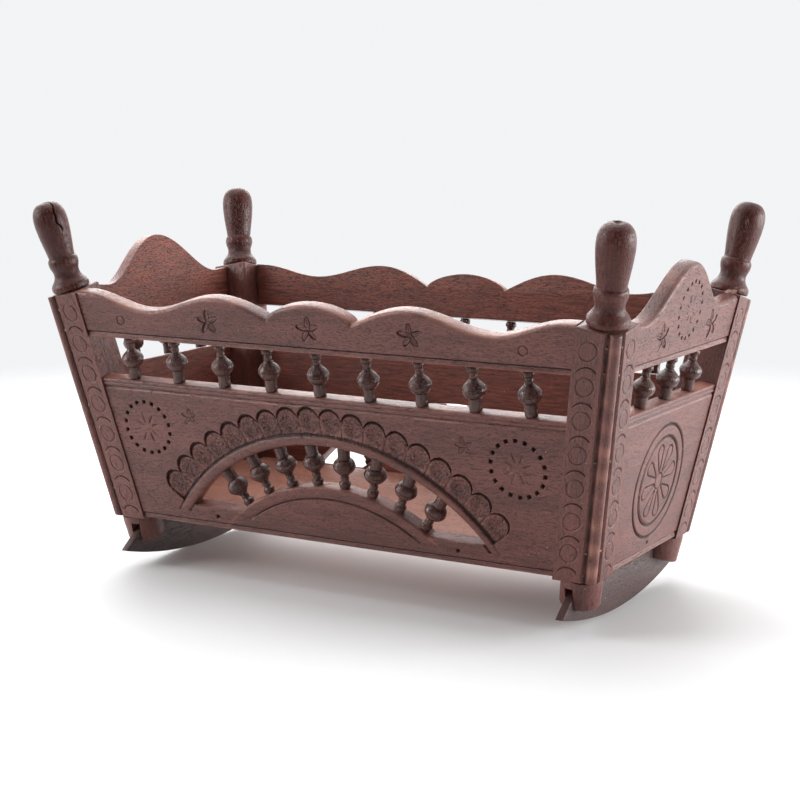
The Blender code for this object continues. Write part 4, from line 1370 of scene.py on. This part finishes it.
# ---------------------------------------------------------------------------------- studio
def make_floor():
    """A plain pale floor that fades into the backdrop."""
    material, n, shader = new_material("studio_floor")
    place = n.put("ShaderNodeTexCoord").outputs["Object"]
    cloud = n.noise(place, 3.0, 3.0, 0.5)
    n.feed(shader, {
        "Base Color": n.mix(cloud, (0.80, 0.805, 0.81), (0.83, 0.835, 0.84)),
        "Roughness": n.remap(cloud, 0.3, 0.7, 0.55, 0.65),
        "Specular IOR Level": 0.25,
        "Emission Color": (1, 1, 1, 1),
        "Emission Strength": 0.03,
    })
    reach = n.put("ShaderNodeVectorMath", {0: place}, operation="LENGTH")
    clear = n.put("ShaderNodeBsdfTransparent")
    fade = n.put("ShaderNodeMixShader", {
        0: n.remap(reach.outputs["Value"], FADE_START, FADE_END),
        1: shader.outputs["BSDF"],
        2: clear.outputs["BSDF"],
    })
    n.feed(n.tree.nodes["Material Output"], {"Surface": fade.outputs["Shader"]})
    shape = bmesh.new()
    bmesh.ops.create_circle(shape, cap_ends=True, segments=96, radius=FLOOR_REACH)
    mesh = bpy.data.meshes.new("studio_floor")
    shape.to_mesh(mesh)
    shape.free()
    mesh.materials.append(material)
    floor = place_object("studio_floor", mesh)
    floor.location = (0, 0, -FLOOR_CLEARANCE)


def make_light():
    """A white room, darker towards the front, with four soft boxes."""
    world = bpy.data.worlds.new("studio")
    bpy.context.scene.world = world
    world.use_nodes = True
    n = Nodes(world.node_tree)
    n.tree.nodes.clear()
    seen = n.put("ShaderNodeBackground", {"Color": (0.90, 0.91, 0.925, 1), "Strength": 0.99})
    inputs = {0: n.put("ShaderNodeTexCoord").outputs["Generated"],
              1: Vector((0.42, -0.88, 0.22)).normalized()}
    front = n.put("ShaderNodeVectorMath", inputs, operation="DOT_PRODUCT")
    strength = n.remap(front.outputs["Value"], -0.35, 0.70, 1.45, 0.10)
    light = n.put("ShaderNodeBackground", {"Color": (1, 1, 1, 1), "Strength": strength})
    mix = n.put("ShaderNodeMixShader", {
        0: n.put("ShaderNodeLightPath").outputs["Is Camera Ray"],
        1: light.outputs["Background"],
        2: seen.outputs["Background"],
    })
    n.put("ShaderNodeOutputWorld", {"Surface": mix.outputs["Shader"]})
    for name, place, size, power in SOFTBOXES:
        add_softbox(f"softbox_{name}", place, size, power)


def add_softbox(name, place, size, power):
    """A rectangular lamp that faces the cradle."""
    lamp = bpy.data.lights.new(name, "AREA")
    lamp.shape = "RECTANGLE"
    lamp.size, lamp.size_y = size
    lamp.energy = power
    holder = place_object(name, lamp)
    holder.location = place
    aim = Vector((0, 0, 0.1)) - Vector(place)
    holder.rotation_euler = aim.to_track_quat("-Z", "Y").to_euler()
    holder.visible_camera = False


def make_camera():
    """A short telephoto, a little above the cradle and to the right of its front."""
    azimuth, elevation, roll = CAMERA_AZIMUTH, CAMERA_ELEVATION, CAMERA_ROLL
    forward = Vector((math.sin(azimuth) * math.cos(elevation),
                      math.cos(azimuth) * math.cos(elevation), -math.sin(elevation)))
    level = Vector((math.cos(azimuth), -math.sin(azimuth), 0))
    up = level.cross(forward)
    right = math.cos(roll) * level + math.sin(roll) * up
    top = -math.sin(roll) * level + math.cos(roll) * up
    matrix = Matrix((right, top, -forward)).transposed().to_4x4()
    matrix.translation = Vector(CAMERA_PLACE)
    data = bpy.data.cameras.new("camera")
    data.lens = CAMERA_LENS
    data.sensor_width = 36.0
    camera = place_object("camera", data)
    camera.matrix_world = matrix
    bpy.context.scene.camera = camera


make_camera()
make_floor()
make_light()
bpy.context.scene.view_settings.view_transform = "Standard"
walls = make_walls()
woods = make_materials()
make_sides(walls, woods)
make_ends(walls, woods)
make_corners(woods)
add_piece(split_patch(), woods["board"], "stained_wood")
make_base(woods)
make_brads(woods)
